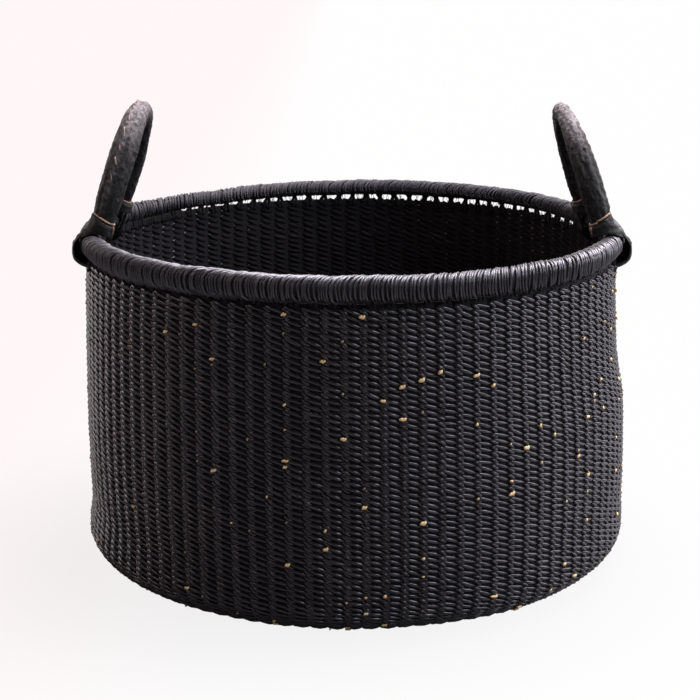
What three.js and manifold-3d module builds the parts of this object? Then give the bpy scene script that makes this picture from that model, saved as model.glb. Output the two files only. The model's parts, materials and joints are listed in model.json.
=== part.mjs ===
// A round woven hamper basket with a wrapped rim and two leather-covered carrying handles.
// Millimetres, +Z up. The origin is the middle of the underside, and the handles stand at +X and -X.

import * as THREE from "three";
import { mergeVertices } from "three/addons/utils/BufferGeometryUtils.js";
import Module from "manifold-3d";

const wasm = await Module();
wasm.setup();

// Running gap between pieces that touch
const FIT_GAP = 0.3;

// Upright stakes that the rows are twined round. The turned shapes have one facet to a stake.
const STAKES = 98;
const STAKE_WIDTH = 3.6;
const STAKE_DEPTH = 3;
const STAKE_SEAT_DEPTH = 4;

// Rim
const RIM_TOP = 305;
const RIM_RADIUS = 236.25;
const RIM_TUBE_RADIUS = 9.25;
const RIM_WRAP_THICKNESS = 3.2;
const RIM_SLOT_CLEARANCE = 0.5;
const OPEN_ROW_HEIGHT = 3.5;

// Wall and base
const WALL_TOP_OUTSET = 3.75;
const BELLY_RADIUS = 247;
const BELLY_HEIGHT = 110;
const WALL_FOOT_RADIUS = 244;
const CORNER_WIDTH = 40;
const CORNER_HEIGHT = 32;
const WALL_THICKNESS = 7;
const BASE_THICKNESS = 7;

// Handle arch: the centre line of its core, measured from the rim's centre line
const HANDLE_RISE = 114;
const HANDLE_LEAN = 17;
const HANDLE_SQUARENESS = 2.4;
const HANDLE_INSET = 5.2;
const HANDLE_CORE_RADIUS = 7;
const HANDLE_COVER_RADIUS = 10.5;
const HANDLE_FOOT_STAKE_GAPS = 4;
const CORE_RIM_GAP = 3.5;

// Lacing along the seam of the cover. Each seam is turned from the outward side towards the arch's outer curve.
const LACING_RADIUS = 0.7;
const LACING_PITCH = 13;
const LACING_SWING = 12;
const LACING_INSET = 4;
const SEAM_TURN_RIGHT = 20;
const SEAM_TURN_LEFT = 60;

// Strap that slings each foot under the rim
const STRAP_THICKNESS = 2;
const STRAP_WIDTH = 8.4;
const STRAP_CLEARANCE = 0.5;
const STRAP_SLACK = 8;
const SLACK_DIRECTION = 250;
const STRAP_TAIL_DROP = 2;
const LOOP_FROM = 140;
const LOOP_TO = 350;
const NOTCH_DEPTH = 20;
const NOTCH_SIDE_CLEARANCE = 1;
const NOTCH_FLOOR_CLEARANCE = 1.5;

// Collar over the foot, its binding thread and its stitch
const COLLAR_THICKNESS = 1.4;
const COLLAR_RIM_GAP = 2.75;
const COLLAR_LENGTH = 10.4;
const COLLAR_TOP_DROP = 1.6;
const THREAD_RADIUS = 0.8;
const STITCH_LENGTH = 6;
const STITCH_INSET = 4.8;
const STITCH_TURN = 32;

// Facets of the curved faces
const CORNER_POINTS = 6;
const OUTER_WALL_POINTS = 5;
const INNER_WALL_POINTS = 4;
const RIM_POINTS = 11;
const BORE_POINTS = 7;
const BUNDLE_SIDES = 7;
const LEG_SIDES = 10;
const ARCH_STEPS = 24;
const LACING_SIDES = 4;
const STEPS_PER_SWING = 3;
const LOOP_POINTS = 6;
const STRAP_STEPS = 22;
const COLLAR_SIDES = 16;
const THREAD_SIDES = 4;
const THREAD_STEPS = 16;
const STITCH_SIDES = 6;

// Sizes worked out from the ones above
const RIM_HEIGHT = RIM_TOP - RIM_TUBE_RADIUS;
const RIM_CORE_RADIUS = RIM_TUBE_RADIUS - RIM_WRAP_THICKNESS - FIT_GAP;
const WALL_TOP = RIM_HEIGHT - RIM_TUBE_RADIUS - OPEN_ROW_HEIGHT;
const WALL_TOP_RADIUS = RIM_RADIUS + WALL_TOP_OUTSET;
const STAKE_RADIUS = RIM_RADIUS;
const BASE_RADIUS = WALL_FOOT_RADIUS - CORNER_WIDTH;
const STAKE_STEP = (2 * Math.PI) / STAKES;
const HANDLE_HALF_SPAN = STAKE_RADIUS * Math.sin(HANDLE_FOOT_STAKE_GAPS * STAKE_STEP);
const HINGE_X = Math.sqrt(RIM_RADIUS ** 2 - HANDLE_HALF_SPAN ** 2);
const LEAN = THREE.MathUtils.degToRad(HANDLE_LEAN);
const TAIL_OFFSET = HANDLE_CORE_RADIUS + FIT_GAP + STRAP_THICKNESS / 2;
const CORE_END_RISE = RIM_TUBE_RADIUS + CORE_RIM_GAP;
const COLLAR_LOW_RISE = RIM_TUBE_RADIUS + COLLAR_RIM_GAP;
const COLLAR_HIGH_RISE = COLLAR_LOW_RISE + COLLAR_LENGTH;
const COVER_END_RISE = COLLAR_HIGH_RISE + COLLAR_TOP_DROP;
const STRAP_TAIL_RISE = COVER_END_RISE - STRAP_TAIL_DROP;
const LACING_END_RISE = COVER_END_RISE + LACING_INSET;
const STITCH_RISE = COLLAR_LOW_RISE + STITCH_INSET;

// Finishes
const dyedGrass = new THREE.MeshStandardMaterial({ color: 0x1f1d20, roughness: 0.62, metalness: 0 });
const rimGrass = new THREE.MeshStandardMaterial({ color: 0x2a272b, roughness: 0.5, metalness: 0 });
const grassBundle = new THREE.MeshStandardMaterial({ color: 0x4b4134, roughness: 0.8, metalness: 0 });
const blackLeather = new THREE.MeshStandardMaterial({ color: 0x1b191b, roughness: 0.45, metalness: 0 });
const naturalThread = new THREE.MeshStandardMaterial({ color: 0xb39a80, roughness: 0.7, metalness: 0 });

function named(name, geometry, material) {
  const mesh = new THREE.Mesh(geometry, material);
  mesh.name = name;
  return mesh;
}

// Closed solid of a geometry, for joining and cutting
function solidOf(geometry) {
  const bare = new THREE.BufferGeometry();
  bare.setAttribute("position", geometry.getAttribute("position").clone());
  bare.setIndex(geometry.getIndex());
  const merged = mergeVertices(bare, 1e-4);
  return new wasm.Manifold(
    new wasm.Mesh({
      numProp: 3,
      vertProperties: new Float32Array(merged.getAttribute("position").array),
      triVerts: new Uint32Array(merged.getIndex().array),
    }),
  );
}

function geometryOf(solid) {
  const mesh = solid.getMesh();
  const geometry = new THREE.BufferGeometry();
  geometry.setAttribute("position", new THREE.BufferAttribute(mesh.vertProperties, 3));
  geometry.setIndex(new THREE.BufferAttribute(mesh.triVerts, 1));
  geometry.computeVertexNormals();
  return geometry;
}

// Shape turned round the upright axis from an outline of [radius, height] points
function turned(outline) {
  const points = outline.map(([radius, height]) => new THREE.Vector2(radius, height));
  return new THREE.LatheGeometry(points, STAKES).rotateX(Math.PI / 2);
}

function turnedRing(outline) {
  return turned([...outline, outline[0]]);
}

// Points from one angle to another on an ellipse, ends included
function arcPoints([centreX, centreY], radiusX, radiusY, fromAngle, toAngle, count) {
  return Array.from({ length: count }, (_, i) => {
    const angle = fromAngle + ((toAngle - fromAngle) * i) / (count - 1);
    return [centreX + radiusX * Math.cos(angle), centreY + radiusY * Math.sin(angle)];
  });
}

// Outside radius of the wall: a low belly that draws in to the rim and, less, to the foot
function wallRadius(height) {
  if (height > BELLY_HEIGHT) {
    const rise = (height - BELLY_HEIGHT) / (WALL_TOP - BELLY_HEIGHT);
    return BELLY_RADIUS - (BELLY_RADIUS - WALL_TOP_RADIUS) * rise ** 1.6;
  }
  const drop = (BELLY_HEIGHT - height) / (BELLY_HEIGHT - CORNER_HEIGHT);
  return BELLY_RADIUS - (BELLY_RADIUS - WALL_FOOT_RADIUS) * drop ** 3;
}

function wallHeights(low, high, count) {
  return Array.from({ length: count }, (_, i) => low + ((high - low) * i) / (count - 1));
}

// Wall of twined rows, with a seat for the stakes in its top edge
function wallOutline() {
  const innerCorner = CORNER_HEIGHT + BASE_THICKNESS / 2;
  const innerFoot = wallRadius(innerCorner) - WALL_THICKNESS;
  const seatInner = STAKE_RADIUS - STAKE_DEPTH / 2 - FIT_GAP;
  const seatOuter = STAKE_RADIUS + STAKE_DEPTH / 2 + FIT_GAP;
  const seatFloor = WALL_TOP - STAKE_SEAT_DEPTH;
  const outerCorner = arcPoints(
    [BASE_RADIUS, CORNER_HEIGHT],
    CORNER_WIDTH,
    CORNER_HEIGHT,
    -Math.PI / 2,
    0,
    CORNER_POINTS,
  );
  const innerCornerArc = arcPoints(
    [BASE_RADIUS, innerCorner],
    innerFoot - BASE_RADIUS,
    innerCorner - BASE_THICKNESS,
    0,
    -Math.PI / 2,
    CORNER_POINTS,
  );
  return [
    ...outerCorner,
    ...wallHeights(CORNER_HEIGHT, WALL_TOP, OUTER_WALL_POINTS)
      .slice(1)
      .map((height) => [wallRadius(height), height]),
    [seatOuter, WALL_TOP],
    [seatOuter, seatFloor],
    [seatInner, seatFloor],
    [seatInner, WALL_TOP],
    ...wallHeights(innerCorner, WALL_TOP, INNER_WALL_POINTS)
      .reverse()
      .slice(0, -1)
      .map((height) => [wallRadius(height) - WALL_THICKNESS, height]),
    ...innerCornerArc,
  ];
}

// Box between two opposite corners
function boxBetween(low, high) {
  const size = new THREE.Vector3().subVectors(high, low);
  const middle = new THREE.Vector3().addVectors(low, high).multiplyScalar(0.5);
  return new THREE.BoxGeometry(size.x, size.y, size.z).translate(middle.x, middle.y, middle.z);
}

// Notches in the top edge of the wall, where the four straps pass through the weave
function strapNotches() {
  const halfWidth = STRAP_WIDTH / 2 + NOTCH_SIDE_CLEARANCE;
  const slackestRadius = loopRadius(THREE.MathUtils.degToRad(SLACK_DIRECTION));
  const floor = RIM_HEIGHT - slackestRadius - STRAP_THICKNESS / 2 - NOTCH_FLOOR_CLEARANCE;
  const corners = [];
  for (const side of [-1, 1]) {
    for (const end of [-1, 1]) {
      const x = side * HINGE_X;
      const y = end * HANDLE_HALF_SPAN;
      corners.push([
        new THREE.Vector3(x - NOTCH_DEPTH, y - halfWidth, floor),
        new THREE.Vector3(x + NOTCH_DEPTH, y + halfWidth, RIM_HEIGHT),
      ]);
    }
  }
  return corners.map(([low, high]) => solidOf(boxBetween(low, high)));
}

function wallWeave() {
  let wall = solidOf(turnedRing(wallOutline()));
  for (const notch of strapNotches()) {
    wall = wall.subtract(notch);
  }
  return named("wall_weave", geometryOf(wall), dyedGrass);
}

function baseWeave() {
  const edge = BASE_RADIUS - FIT_GAP;
  const outline = [
    [0, 0],
    [edge, 0],
    [edge, BASE_THICKNESS],
    [0, BASE_THICKNESS],
  ];
  return named("base_weave", turned(outline), dyedGrass);
}

// The stakes' ends stand out of the wall and are bent over into one bundle, the core of the rim
function stakeRing() {
  const centre = [RIM_RADIUS, RIM_HEIGHT];
  const bundle = arcPoints(centre, RIM_CORE_RADIUS, RIM_CORE_RADIUS, 0, 2 * Math.PI, BUNDLE_SIDES + 1);
  const low = WALL_TOP - STAKE_SEAT_DEPTH + FIT_GAP;
  const high = RIM_HEIGHT - RIM_CORE_RADIUS / 3;
  const stakes = Array.from({ length: STAKES }, (_, i) => {
    const stake = boxBetween(
      new THREE.Vector3(STAKE_RADIUS - STAKE_DEPTH / 2, -STAKE_WIDTH / 2, low),
      new THREE.Vector3(STAKE_RADIUS + STAKE_DEPTH / 2, STAKE_WIDTH / 2, high),
    );
    return solidOf(stake.rotateZ((i + 0.5) * STAKE_STEP));
  });
  const ring = wasm.Manifold.union([solidOf(turned(bundle)), ...stakes]);
  return named("stake_ring", geometryOf(ring), grassBundle);
}

// The overcast wrapping of the rim, open below where the stakes come up into it
function rimWrap() {
  const slotOuter = STAKE_RADIUS + STAKE_DEPTH / 2 + RIM_SLOT_CLEARANCE - RIM_RADIUS;
  const slotInner = STAKE_RADIUS - STAKE_DEPTH / 2 - RIM_SLOT_CLEARANCE - RIM_RADIUS;
  const turn = 2 * Math.PI;
  const boreRadius = (RIM_CORE_RADIUS + FIT_GAP) / Math.cos(Math.PI / BORE_POINTS);
  const lowAngle = (radius, x) => -Math.acos(x / radius);
  const centre = [RIM_RADIUS, RIM_HEIGHT];
  const outside = arcPoints(
    centre,
    RIM_TUBE_RADIUS,
    RIM_TUBE_RADIUS,
    lowAngle(RIM_TUBE_RADIUS, slotOuter),
    lowAngle(RIM_TUBE_RADIUS, slotInner) + turn,
    RIM_POINTS,
  );
  const inside = arcPoints(
    centre,
    boreRadius,
    boreRadius,
    lowAngle(boreRadius, slotInner) + turn,
    lowAngle(boreRadius, slotOuter),
    BORE_POINTS,
  );
  return named("rim_wrap", turnedRing([...outside, ...inside]), rimGrass);
}

// Point of a handle at +X: a rise along the lean, a distance across the leg and a place along the rim
const leanUp = new THREE.Vector3(-Math.sin(LEAN), 0, Math.cos(LEAN));
const leanIn = new THREE.Vector3(-Math.cos(LEAN), 0, -Math.sin(LEAN));

function handlePoint(along, rise, across) {
  return new THREE.Vector3(HINGE_X - HANDLE_INSET, along, RIM_HEIGHT)
    .addScaledVector(leanUp, rise)
    .addScaledVector(leanIn, across);
}

// Distance of the arch's centre line from the middle of the handle at a rise
function archReach(rise) {
  const power = HANDLE_SQUARENESS;
  return HANDLE_HALF_SPAN * (1 - (rise / HANDLE_RISE) ** power) ** (1 / power);
}

// Centre line of the arch, from a rise on one leg over the top to the same rise on the other
class ArchCurve extends THREE.Curve {
  constructor(endRise) {
    super();
    this.start = Math.asin((endRise / HANDLE_RISE) ** (HANDLE_SQUARENESS / 2));
  }

  getPoint(fraction, target = new THREE.Vector3()) {
    const angle = this.start + (Math.PI - 2 * this.start) * fraction;
    const power = 2 / HANDLE_SQUARENESS;
    const cosine = Math.cos(angle);
    const along = -HANDLE_HALF_SPAN * Math.sign(cosine) * Math.abs(cosine) ** power;
    const rise = HANDLE_RISE * Math.sin(angle) ** power;
    return target.copy(handlePoint(along, rise, 0));
  }
}

// Thread that crosses the outer seam from side to side, a stitch at each half swing
class LacingCurve extends THREE.Curve {
  constructor(arch, distance, seamTurn) {
    super();
    this.arch = arch;
    this.distance = distance;
    this.seamTurn = seamTurn;
    this.halfSwings = Math.round(arch.getLength() / LACING_PITCH);
  }

  getPoint(fraction, target = new THREE.Vector3()) {
    const middle = this.arch.getPointAt(fraction);
    const tangent = this.arch.getTangentAt(fraction);
    const sideways = new THREE.Vector3().crossVectors(tangent, leanIn);
    const swing = LACING_SWING * Math.cos(Math.PI * this.halfSwings * fraction);
    const turn = THREE.MathUtils.degToRad(this.seamTurn + swing);
    return target
      .copy(middle)
      .addScaledVector(leanIn, -this.distance * Math.cos(turn))
      .addScaledVector(sideways, this.distance * Math.sin(turn));
  }
}

function circleShape(radius, sides, holeRadius = 0) {
  const ring = (size) =>
    Array.from({ length: sides }, (_, i) => {
      const angle = (2 * Math.PI * i) / sides;
      return new THREE.Vector2(size * Math.cos(angle), size * Math.sin(angle));
    });
  const shape = new THREE.Shape(ring(radius));
  if (holeRadius > 0) {
    shape.holes.push(new THREE.Path(ring(holeRadius)));
  }
  return shape;
}

function tubeAlong(curve, shape, steps) {
  return new THREE.ExtrudeGeometry(shape, { steps, bevelEnabled: false, extrudePath: curve });
}

// Bundle of grass that stiffens the handle
function handleCore() {
  return tubeAlong(new ArchCurve(CORE_END_RISE), circleShape(HANDLE_CORE_RADIUS, LEG_SIDES), ARCH_STEPS);
}

// Leather sleeve over the bundle
function handleCover() {
  const section = circleShape(HANDLE_COVER_RADIUS, LEG_SIDES, HANDLE_CORE_RADIUS + FIT_GAP);
  return tubeAlong(new ArchCurve(COVER_END_RISE), section, ARCH_STEPS);
}

function handleLacing(seamTurn) {
  const distance = HANDLE_COVER_RADIUS + FIT_GAP + LACING_RADIUS;
  const lacing = new LacingCurve(new ArchCurve(LACING_END_RISE), distance, seamTurn);
  const section = circleShape(LACING_RADIUS, LACING_SIDES);
  return tubeAlong(lacing, section, STEPS_PER_SWING * lacing.halfSwings);
}

// Middle of the strap where it goes round the rim, slackest below and outside it
function loopRadius(angle) {
  const rimHalfWidth = RIM_TUBE_RADIUS / Math.cos(HANDLE_FOOT_STAKE_GAPS * STAKE_STEP);
  const skew = (STRAP_WIDTH / 2) * Math.tan(HANDLE_FOOT_STAKE_GAPS * STAKE_STEP);
  const tight = rimHalfWidth + skew + STRAP_CLEARANCE + STRAP_THICKNESS / 2;
  return tight + STRAP_SLACK * Math.max(0, Math.cos(angle - THREE.MathUtils.degToRad(SLACK_DIRECTION)));
}

function loopPoint(degrees) {
  const angle = THREE.MathUtils.degToRad(degrees);
  const radius = loopRadius(angle);
  return new THREE.Vector3(HINGE_X - radius * Math.cos(angle), 0, RIM_HEIGHT + radius * Math.sin(angle));
}

// Middle of the strap: down outside the rim, under it and up inside, with both tails on the core
function strapLine() {
  const loopStep = (LOOP_TO - LOOP_FROM) / (LOOP_POINTS - 1);
  return new THREE.CatmullRomCurve3([
    handlePoint(0, STRAP_TAIL_RISE, -TAIL_OFFSET),
    ...Array.from({ length: LOOP_POINTS }, (_, i) => loopPoint(LOOP_FROM + i * loopStep)),
    handlePoint(0, CORE_END_RISE + STRAP_THICKNESS, TAIL_OFFSET),
    handlePoint(0, STRAP_TAIL_RISE, TAIL_OFFSET),
  ]);
}

// Side view of the strap
function strapShape() {
  const line = strapLine();
  const outer = [];
  const inner = [];
  for (let i = 0; i <= STRAP_STEPS; i += 1) {
    const point = line.getPointAt(i / STRAP_STEPS);
    const tangent = line.getTangentAt(i / STRAP_STEPS);
    const offset = new THREE.Vector2(-tangent.z, tangent.x).multiplyScalar(STRAP_THICKNESS / 2);
    outer.push(new THREE.Vector2(point.x + offset.x, point.z + offset.y));
    inner.push(new THREE.Vector2(point.x - offset.x, point.z - offset.y));
  }
  return new THREE.Shape([...outer, ...inner.reverse()]);
}

function footStrap(along) {
  return new THREE.ExtrudeGeometry(strapShape(), { depth: STRAP_WIDTH, steps: 1, bevelEnabled: false })
    .rotateX(Math.PI / 2)
    .translate(0, along + STRAP_WIDTH / 2, 0);
}

// Closed shell between nested stacks of rings: up the outside and down the inside
function shellOfRings(rings) {
  const sides = rings[0].length;
  const positions = rings.flat().flatMap((point) => [point.x, point.y, point.z]);
  const indices = [];
  for (let row = 0; row < rings.length; row += 1) {
    const next = (row + 1) % rings.length;
    for (let i = 0; i < sides; i += 1) {
      const j = (i + 1) % sides;
      const [a, b] = [row * sides + i, row * sides + j];
      const [c, d] = [next * sides + i, next * sides + j];
      indices.push(a, d, b, a, c, d);
    }
  }
  const geometry = new THREE.BufferGeometry();
  geometry.setAttribute("position", new THREE.Float32BufferAttribute(positions, 3));
  geometry.setIndex(indices);
  geometry.computeVertexNormals();
  return geometry;
}

// Reach of the outer tail's middle from the axis of the leg, at a rise
function tailReach(rise) {
  const foot = handlePoint(0, 0, 0);
  const places = strapLine()
    .getSpacedPoints(STRAP_STEPS)
    .map((point) => point.sub(foot))
    .map((point) => ({ rise: point.dot(leanUp), reach: -point.dot(leanIn) }));
  const next = Math.max(1, places.findIndex((place) => place.rise < rise));
  const [above, below] = [places[next - 1], places[next]];
  return below.reach + ((above.reach - below.reach) * (rise - below.rise)) / (above.rise - below.rise);
}

// Reach of the collar's bore to either side of the leg at a rise. Its half width is its inward reach.
function collarReach(rise) {
  const inward = Math.hypot(TAIL_OFFSET + STRAP_THICKNESS / 2, STRAP_WIDTH / 2) + FIT_GAP;
  const cornerShare = Math.sqrt(1 - (STRAP_WIDTH / 2 / inward) ** 2);
  const outward = (tailReach(rise) + STRAP_THICKNESS + FIT_GAP) / cornerShare;
  return { outward: Math.max(inward, outward), inward };
}

function collarRing(along, rise, thickness) {
  const { outward, inward } = collarReach(rise);
  return Array.from({ length: COLLAR_SIDES }, (_, i) => {
    const angle = (2 * Math.PI * i) / COLLAR_SIDES;
    const reach = Math.cos(angle) > 0 ? inward : outward;
    const sideways = (inward + thickness) * Math.sin(angle);
    return handlePoint(along + sideways, rise, (reach + thickness) * Math.cos(angle));
  });
}

function footCollar(along) {
  const rises = [COLLAR_LOW_RISE, (COLLAR_LOW_RISE + COLLAR_HIGH_RISE) / 2, COLLAR_HIGH_RISE];
  const outside = rises.map((rise) => collarRing(along, rise, COLLAR_THICKNESS));
  const inside = rises.map((rise) => collarRing(along, rise, 0)).reverse();
  return shellOfRings([...outside, ...inside]);
}

function uprightTo(direction) {
  return new THREE.Quaternion().setFromUnitVectors(new THREE.Vector3(0, 0, 1), direction);
}

// Thread bound round the leg where the cover meets the collar
function collarThread(end) {
  const rise = COVER_END_RISE + 2 * THREAD_RADIUS;
  const place = handlePoint(end * archReach(rise), rise, 0);
  const above = handlePoint(end * archReach(rise + 1), rise + 1, 0);
  const ringRadius = HANDLE_COVER_RADIUS + FIT_GAP + THREAD_RADIUS;
  return new THREE.TorusGeometry(ringRadius, THREAD_RADIUS, THREAD_SIDES, THREAD_STEPS)
    .applyQuaternion(uprightTo(above.sub(place).normalize()))
    .translate(place.x, place.y, place.z);
}

// Short stitch that closes the collar, on the side away from the other foot
function collarStitch(along) {
  const outwards = Math.sign(along);
  const turn = THREE.MathUtils.degToRad(STITCH_TURN);
  const distance = collarReach(STITCH_RISE).inward + COLLAR_THICKNESS + FIT_GAP + THREAD_RADIUS;
  const sideways = outwards * distance * Math.sin(turn);
  const place = handlePoint(along + sideways, STITCH_RISE, distance * Math.cos(turn));
  return new THREE.CapsuleGeometry(THREAD_RADIUS, STITCH_LENGTH, 2, STITCH_SIDES)
    .rotateX(Math.PI / 2)
    .applyQuaternion(uprightTo(leanUp))
    .translate(place.x, place.y, place.z);
}

// One handle with its two feet, built at +X. The other is turned half round and has its seam elsewhere.
function handle(side, turn, seamTurn) {
  const group = new THREE.Group();
  group.rotation.z = turn;
  group.add(
    named(`handle_core_${side}`, handleCore(), grassBundle),
    named(`handle_cover_${side}`, handleCover(), blackLeather),
    named(`handle_lacing_${side}`, handleLacing(seamTurn), naturalThread),
  );
  for (const end of [-1, 1]) {
    const along = end * HANDLE_HALF_SPAN;
    const foot = end * Math.cos(turn) < 0 ? "front" : "back";
    group.add(
      named(`foot_strap_${side}_${foot}`, footStrap(along), blackLeather),
      named(`foot_collar_${side}_${foot}`, footCollar(along), blackLeather),
      named(`collar_thread_${side}_${foot}`, collarThread(end), naturalThread),
      named(`collar_stitch_${side}_${foot}`, collarStitch(along), naturalThread),
    );
  }
  return group;
}

const basket = new THREE.Group();
basket.name = "hamper_basket";
basket.add(baseWeave(), wallWeave(), stakeRing(), rimWrap());
basket.add(handle("right", 0, SEAM_TURN_RIGHT), handle("left", Math.PI, SEAM_TURN_LEFT));

export default basket;
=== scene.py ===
import json
import math
import random

import bmesh
import bpy
from mathutils import Matrix, Vector, noise

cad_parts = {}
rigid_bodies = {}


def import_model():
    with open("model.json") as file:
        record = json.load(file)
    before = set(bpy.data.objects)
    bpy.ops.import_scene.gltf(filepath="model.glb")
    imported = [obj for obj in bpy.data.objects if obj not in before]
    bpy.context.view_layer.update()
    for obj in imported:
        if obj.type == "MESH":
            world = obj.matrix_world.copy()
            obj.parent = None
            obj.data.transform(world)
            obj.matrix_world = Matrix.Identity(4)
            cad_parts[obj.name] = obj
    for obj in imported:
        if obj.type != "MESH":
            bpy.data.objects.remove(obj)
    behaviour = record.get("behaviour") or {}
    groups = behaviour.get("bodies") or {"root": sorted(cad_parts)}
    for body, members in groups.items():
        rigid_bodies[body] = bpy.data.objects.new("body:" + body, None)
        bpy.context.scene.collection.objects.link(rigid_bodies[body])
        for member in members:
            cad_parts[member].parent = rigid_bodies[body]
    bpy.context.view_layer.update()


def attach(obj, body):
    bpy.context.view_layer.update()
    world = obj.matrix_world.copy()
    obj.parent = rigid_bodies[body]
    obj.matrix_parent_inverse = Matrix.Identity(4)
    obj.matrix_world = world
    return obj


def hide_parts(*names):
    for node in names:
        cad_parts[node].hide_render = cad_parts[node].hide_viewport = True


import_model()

MM = 0.001

# Sizes of the solids
STAKES = 98
STAKE_STEP = 2 * math.pi / STAKES
STRAP_AZIMUTH = 4 * STAKE_STEP
RIM_TOP = 305 * MM
RIM_RADIUS = 236.25 * MM
RIM_TUBE_RADIUS = 9.25 * MM
RIM_HEIGHT = RIM_TOP - RIM_TUBE_RADIUS
OPEN_ROW_HEIGHT = 3.5 * MM
WALL_TOP = RIM_HEIGHT - RIM_TUBE_RADIUS - OPEN_ROW_HEIGHT
WALL_TOP_RADIUS = RIM_RADIUS + 3.75 * MM
BELLY_RADIUS = 247 * MM
BELLY_HEIGHT = 110 * MM
WALL_FOOT_RADIUS = 244 * MM
CORNER_WIDTH = 40 * MM
CORNER_HEIGHT = 32 * MM
BASE_RADIUS = WALL_FOOT_RADIUS - CORNER_WIDTH
WALL_THICKNESS = 7 * MM
HANDLE_RISE = 114 * MM
HANDLE_SQUARENESS = 2.4
HANDLE_INSET = 5.2 * MM
HANDLE_HALF_SPAN = RIM_RADIUS * math.sin(STRAP_AZIMUTH)
HINGE_X = math.sqrt(RIM_RADIUS**2 - HANDLE_HALF_SPAN**2)
LEAN = math.radians(17)
LEAN_UP = Vector((-math.sin(LEAN), 0, math.cos(LEAN)))
LEAN_IN = Vector((-math.cos(LEAN), 0, -math.sin(LEAN)))
STRAP_THICKNESS = 2 * MM
STRAP_WIDTH = 9.2 * MM
STRAP_SLACK = 8 * MM
SLACK_DIRECTION = 250
TAIL_OFFSET = 8.3 * MM
COLLAR_HIGH_RISE = 22.4 * MM
SLEEVE_END_RISE = 19.2 * MM
STRAP_TAIL_RISE = 18.5 * MM
CORE_END_RISE = 12.75 * MM
THREAD_RADIUS = 0.8 * MM
LACING_END_RISE = 28 * MM
LACING_PITCH = 13 * MM


# Plain mathematics
def clamp(value, low=0.0, high=1.0):
    return max(low, min(high, value))


def eased_step(value, low, high):
    t = clamp((value - low) / (high - low))
    return t * t * (3 - 2 * t)


# 0 outside the band, 1 between full and fall, eased at both ends
def band(value, start, full, fall, end):
    return eased_step(value, start, full) * (1 - eased_step(value, fall, end))


def bell(value, middle, width, power=2):
    return math.exp(-(((value - middle) / width) ** power))


# Radius of a rounded square, the rounder the nearer its power is to 2
def rounded_square(turn, power):
    return (abs(math.cos(turn)) ** power + abs(math.sin(turn)) ** power) ** (-1 / power)


def turns_round(sides):
    return [2 * math.pi * j / sides for j in range(sides)]


def ring_noise(turn, size, along):
    return noise.noise(Vector((math.cos(turn) * size, math.sin(turn) * size, along)))


def directions(points):
    last = len(points) - 1
    return [(points[min(i + 1, last)] - points[max(i - 1, 0)]).normalized() for i in range(last + 1)]


# Short way to add nodes to a tree and join them
class Graph:
    def __init__(self, tree):
        self.tree = tree

    def add(self, kind, inputs=None, **settings):
        node = self.tree.nodes.new(kind)
        for name, value in settings.items():
            setattr(node, name, value)
        for key, value in (inputs or {}).items():
            self.feed(node.inputs[key], value)
        return node

    def feed(self, socket, value):
        if isinstance(value, bpy.types.NodeSocket):
            self.tree.links.new(value, socket)
        else:
            socket.default_value = value

    def math(self, operation, *values):
        return self.add("ShaderNodeMath", dict(enumerate(values)), operation=operation).outputs[0]

    def plus(self, first, second):
        return self.math("ADD", first, second)

    def times(self, first, second):
        return self.math("MULTIPLY", first, second)

    def over(self, first, second):
        return self.math("DIVIDE", first, second)

    def vector_math(self, operation, *values):
        node = self.add("ShaderNodeVectorMath", dict(enumerate(values)), operation=operation)
        return node.outputs[1 if operation in ("DOT_PRODUCT", "LENGTH") else 0]

    def scaled(self, vector, factor):
        return self.add("ShaderNodeVectorMath", {0: vector, "Scale": factor}, operation="SCALE").outputs[0]

    def combine(self, x, y, z):
        return self.add("ShaderNodeCombineXYZ", {"X": x, "Y": y, "Z": z}).outputs[0]

    def separate(self, vector):
        return self.add("ShaderNodeSeparateXYZ", {"Vector": vector}).outputs

    def ramp(self, value, low, high, to_low=0.0, to_high=1.0, interpolation="SMOOTHSTEP"):
        inputs = {"Value": value, "From Min": low, "From Max": high, "To Min": to_low, "To Max": to_high}
        return self.add("ShaderNodeMapRange", inputs, interpolation_type=interpolation).outputs[0]

    def mix_colors(self, factor, first, second):
        return self.add("ShaderNodeMix", {0: factor, 6: first, 7: second}, data_type="RGBA").outputs[2]

    def mix_shaders(self, factor, first, second):
        inputs = {0: factor, 1: first.outputs[0], 2: second.outputs[0]}
        return self.add("ShaderNodeMixShader", inputs).outputs[0]

    def noise(self, vector, scale, detail=2.0, roughness=0.5):
        inputs = {"Vector": vector, "Scale": scale, "Detail": detail, "Roughness": roughness}
        return self.add("ShaderNodeTexNoise", inputs).outputs["Fac"]

    def place(self):
        return self.add("ShaderNodeTexCoord").outputs["Object"]

    def attribute(self, name):
        return self.add("ShaderNodeAttribute", attribute_name=name).outputs["Fac"]

    def group(self, tree, inputs):
        return self.add("ShaderNodeGroup", inputs, node_tree=tree).outputs


# Node group with named sockets. An input is its label, kind and value, an output its label and kind.
def new_group(name, tree_kind, inputs, outputs):
    tree = bpy.data.node_groups.new(name, tree_kind)
    for label, kind, value in inputs:
        socket = tree.interface.new_socket(label, in_out="INPUT", socket_type=f"NodeSocket{kind}")
        if value is not None:
            socket.default_value = value
    for label, kind in outputs:
        tree.interface.new_socket(label, in_out="OUTPUT", socket_type=f"NodeSocket{kind}")
    graph = Graph(tree)
    return graph, graph.add("NodeGroupInput").outputs, graph.add("NodeGroupOutput").inputs


def rgba(red, green, blue):
    return (red, green, blue, 1.0)


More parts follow.
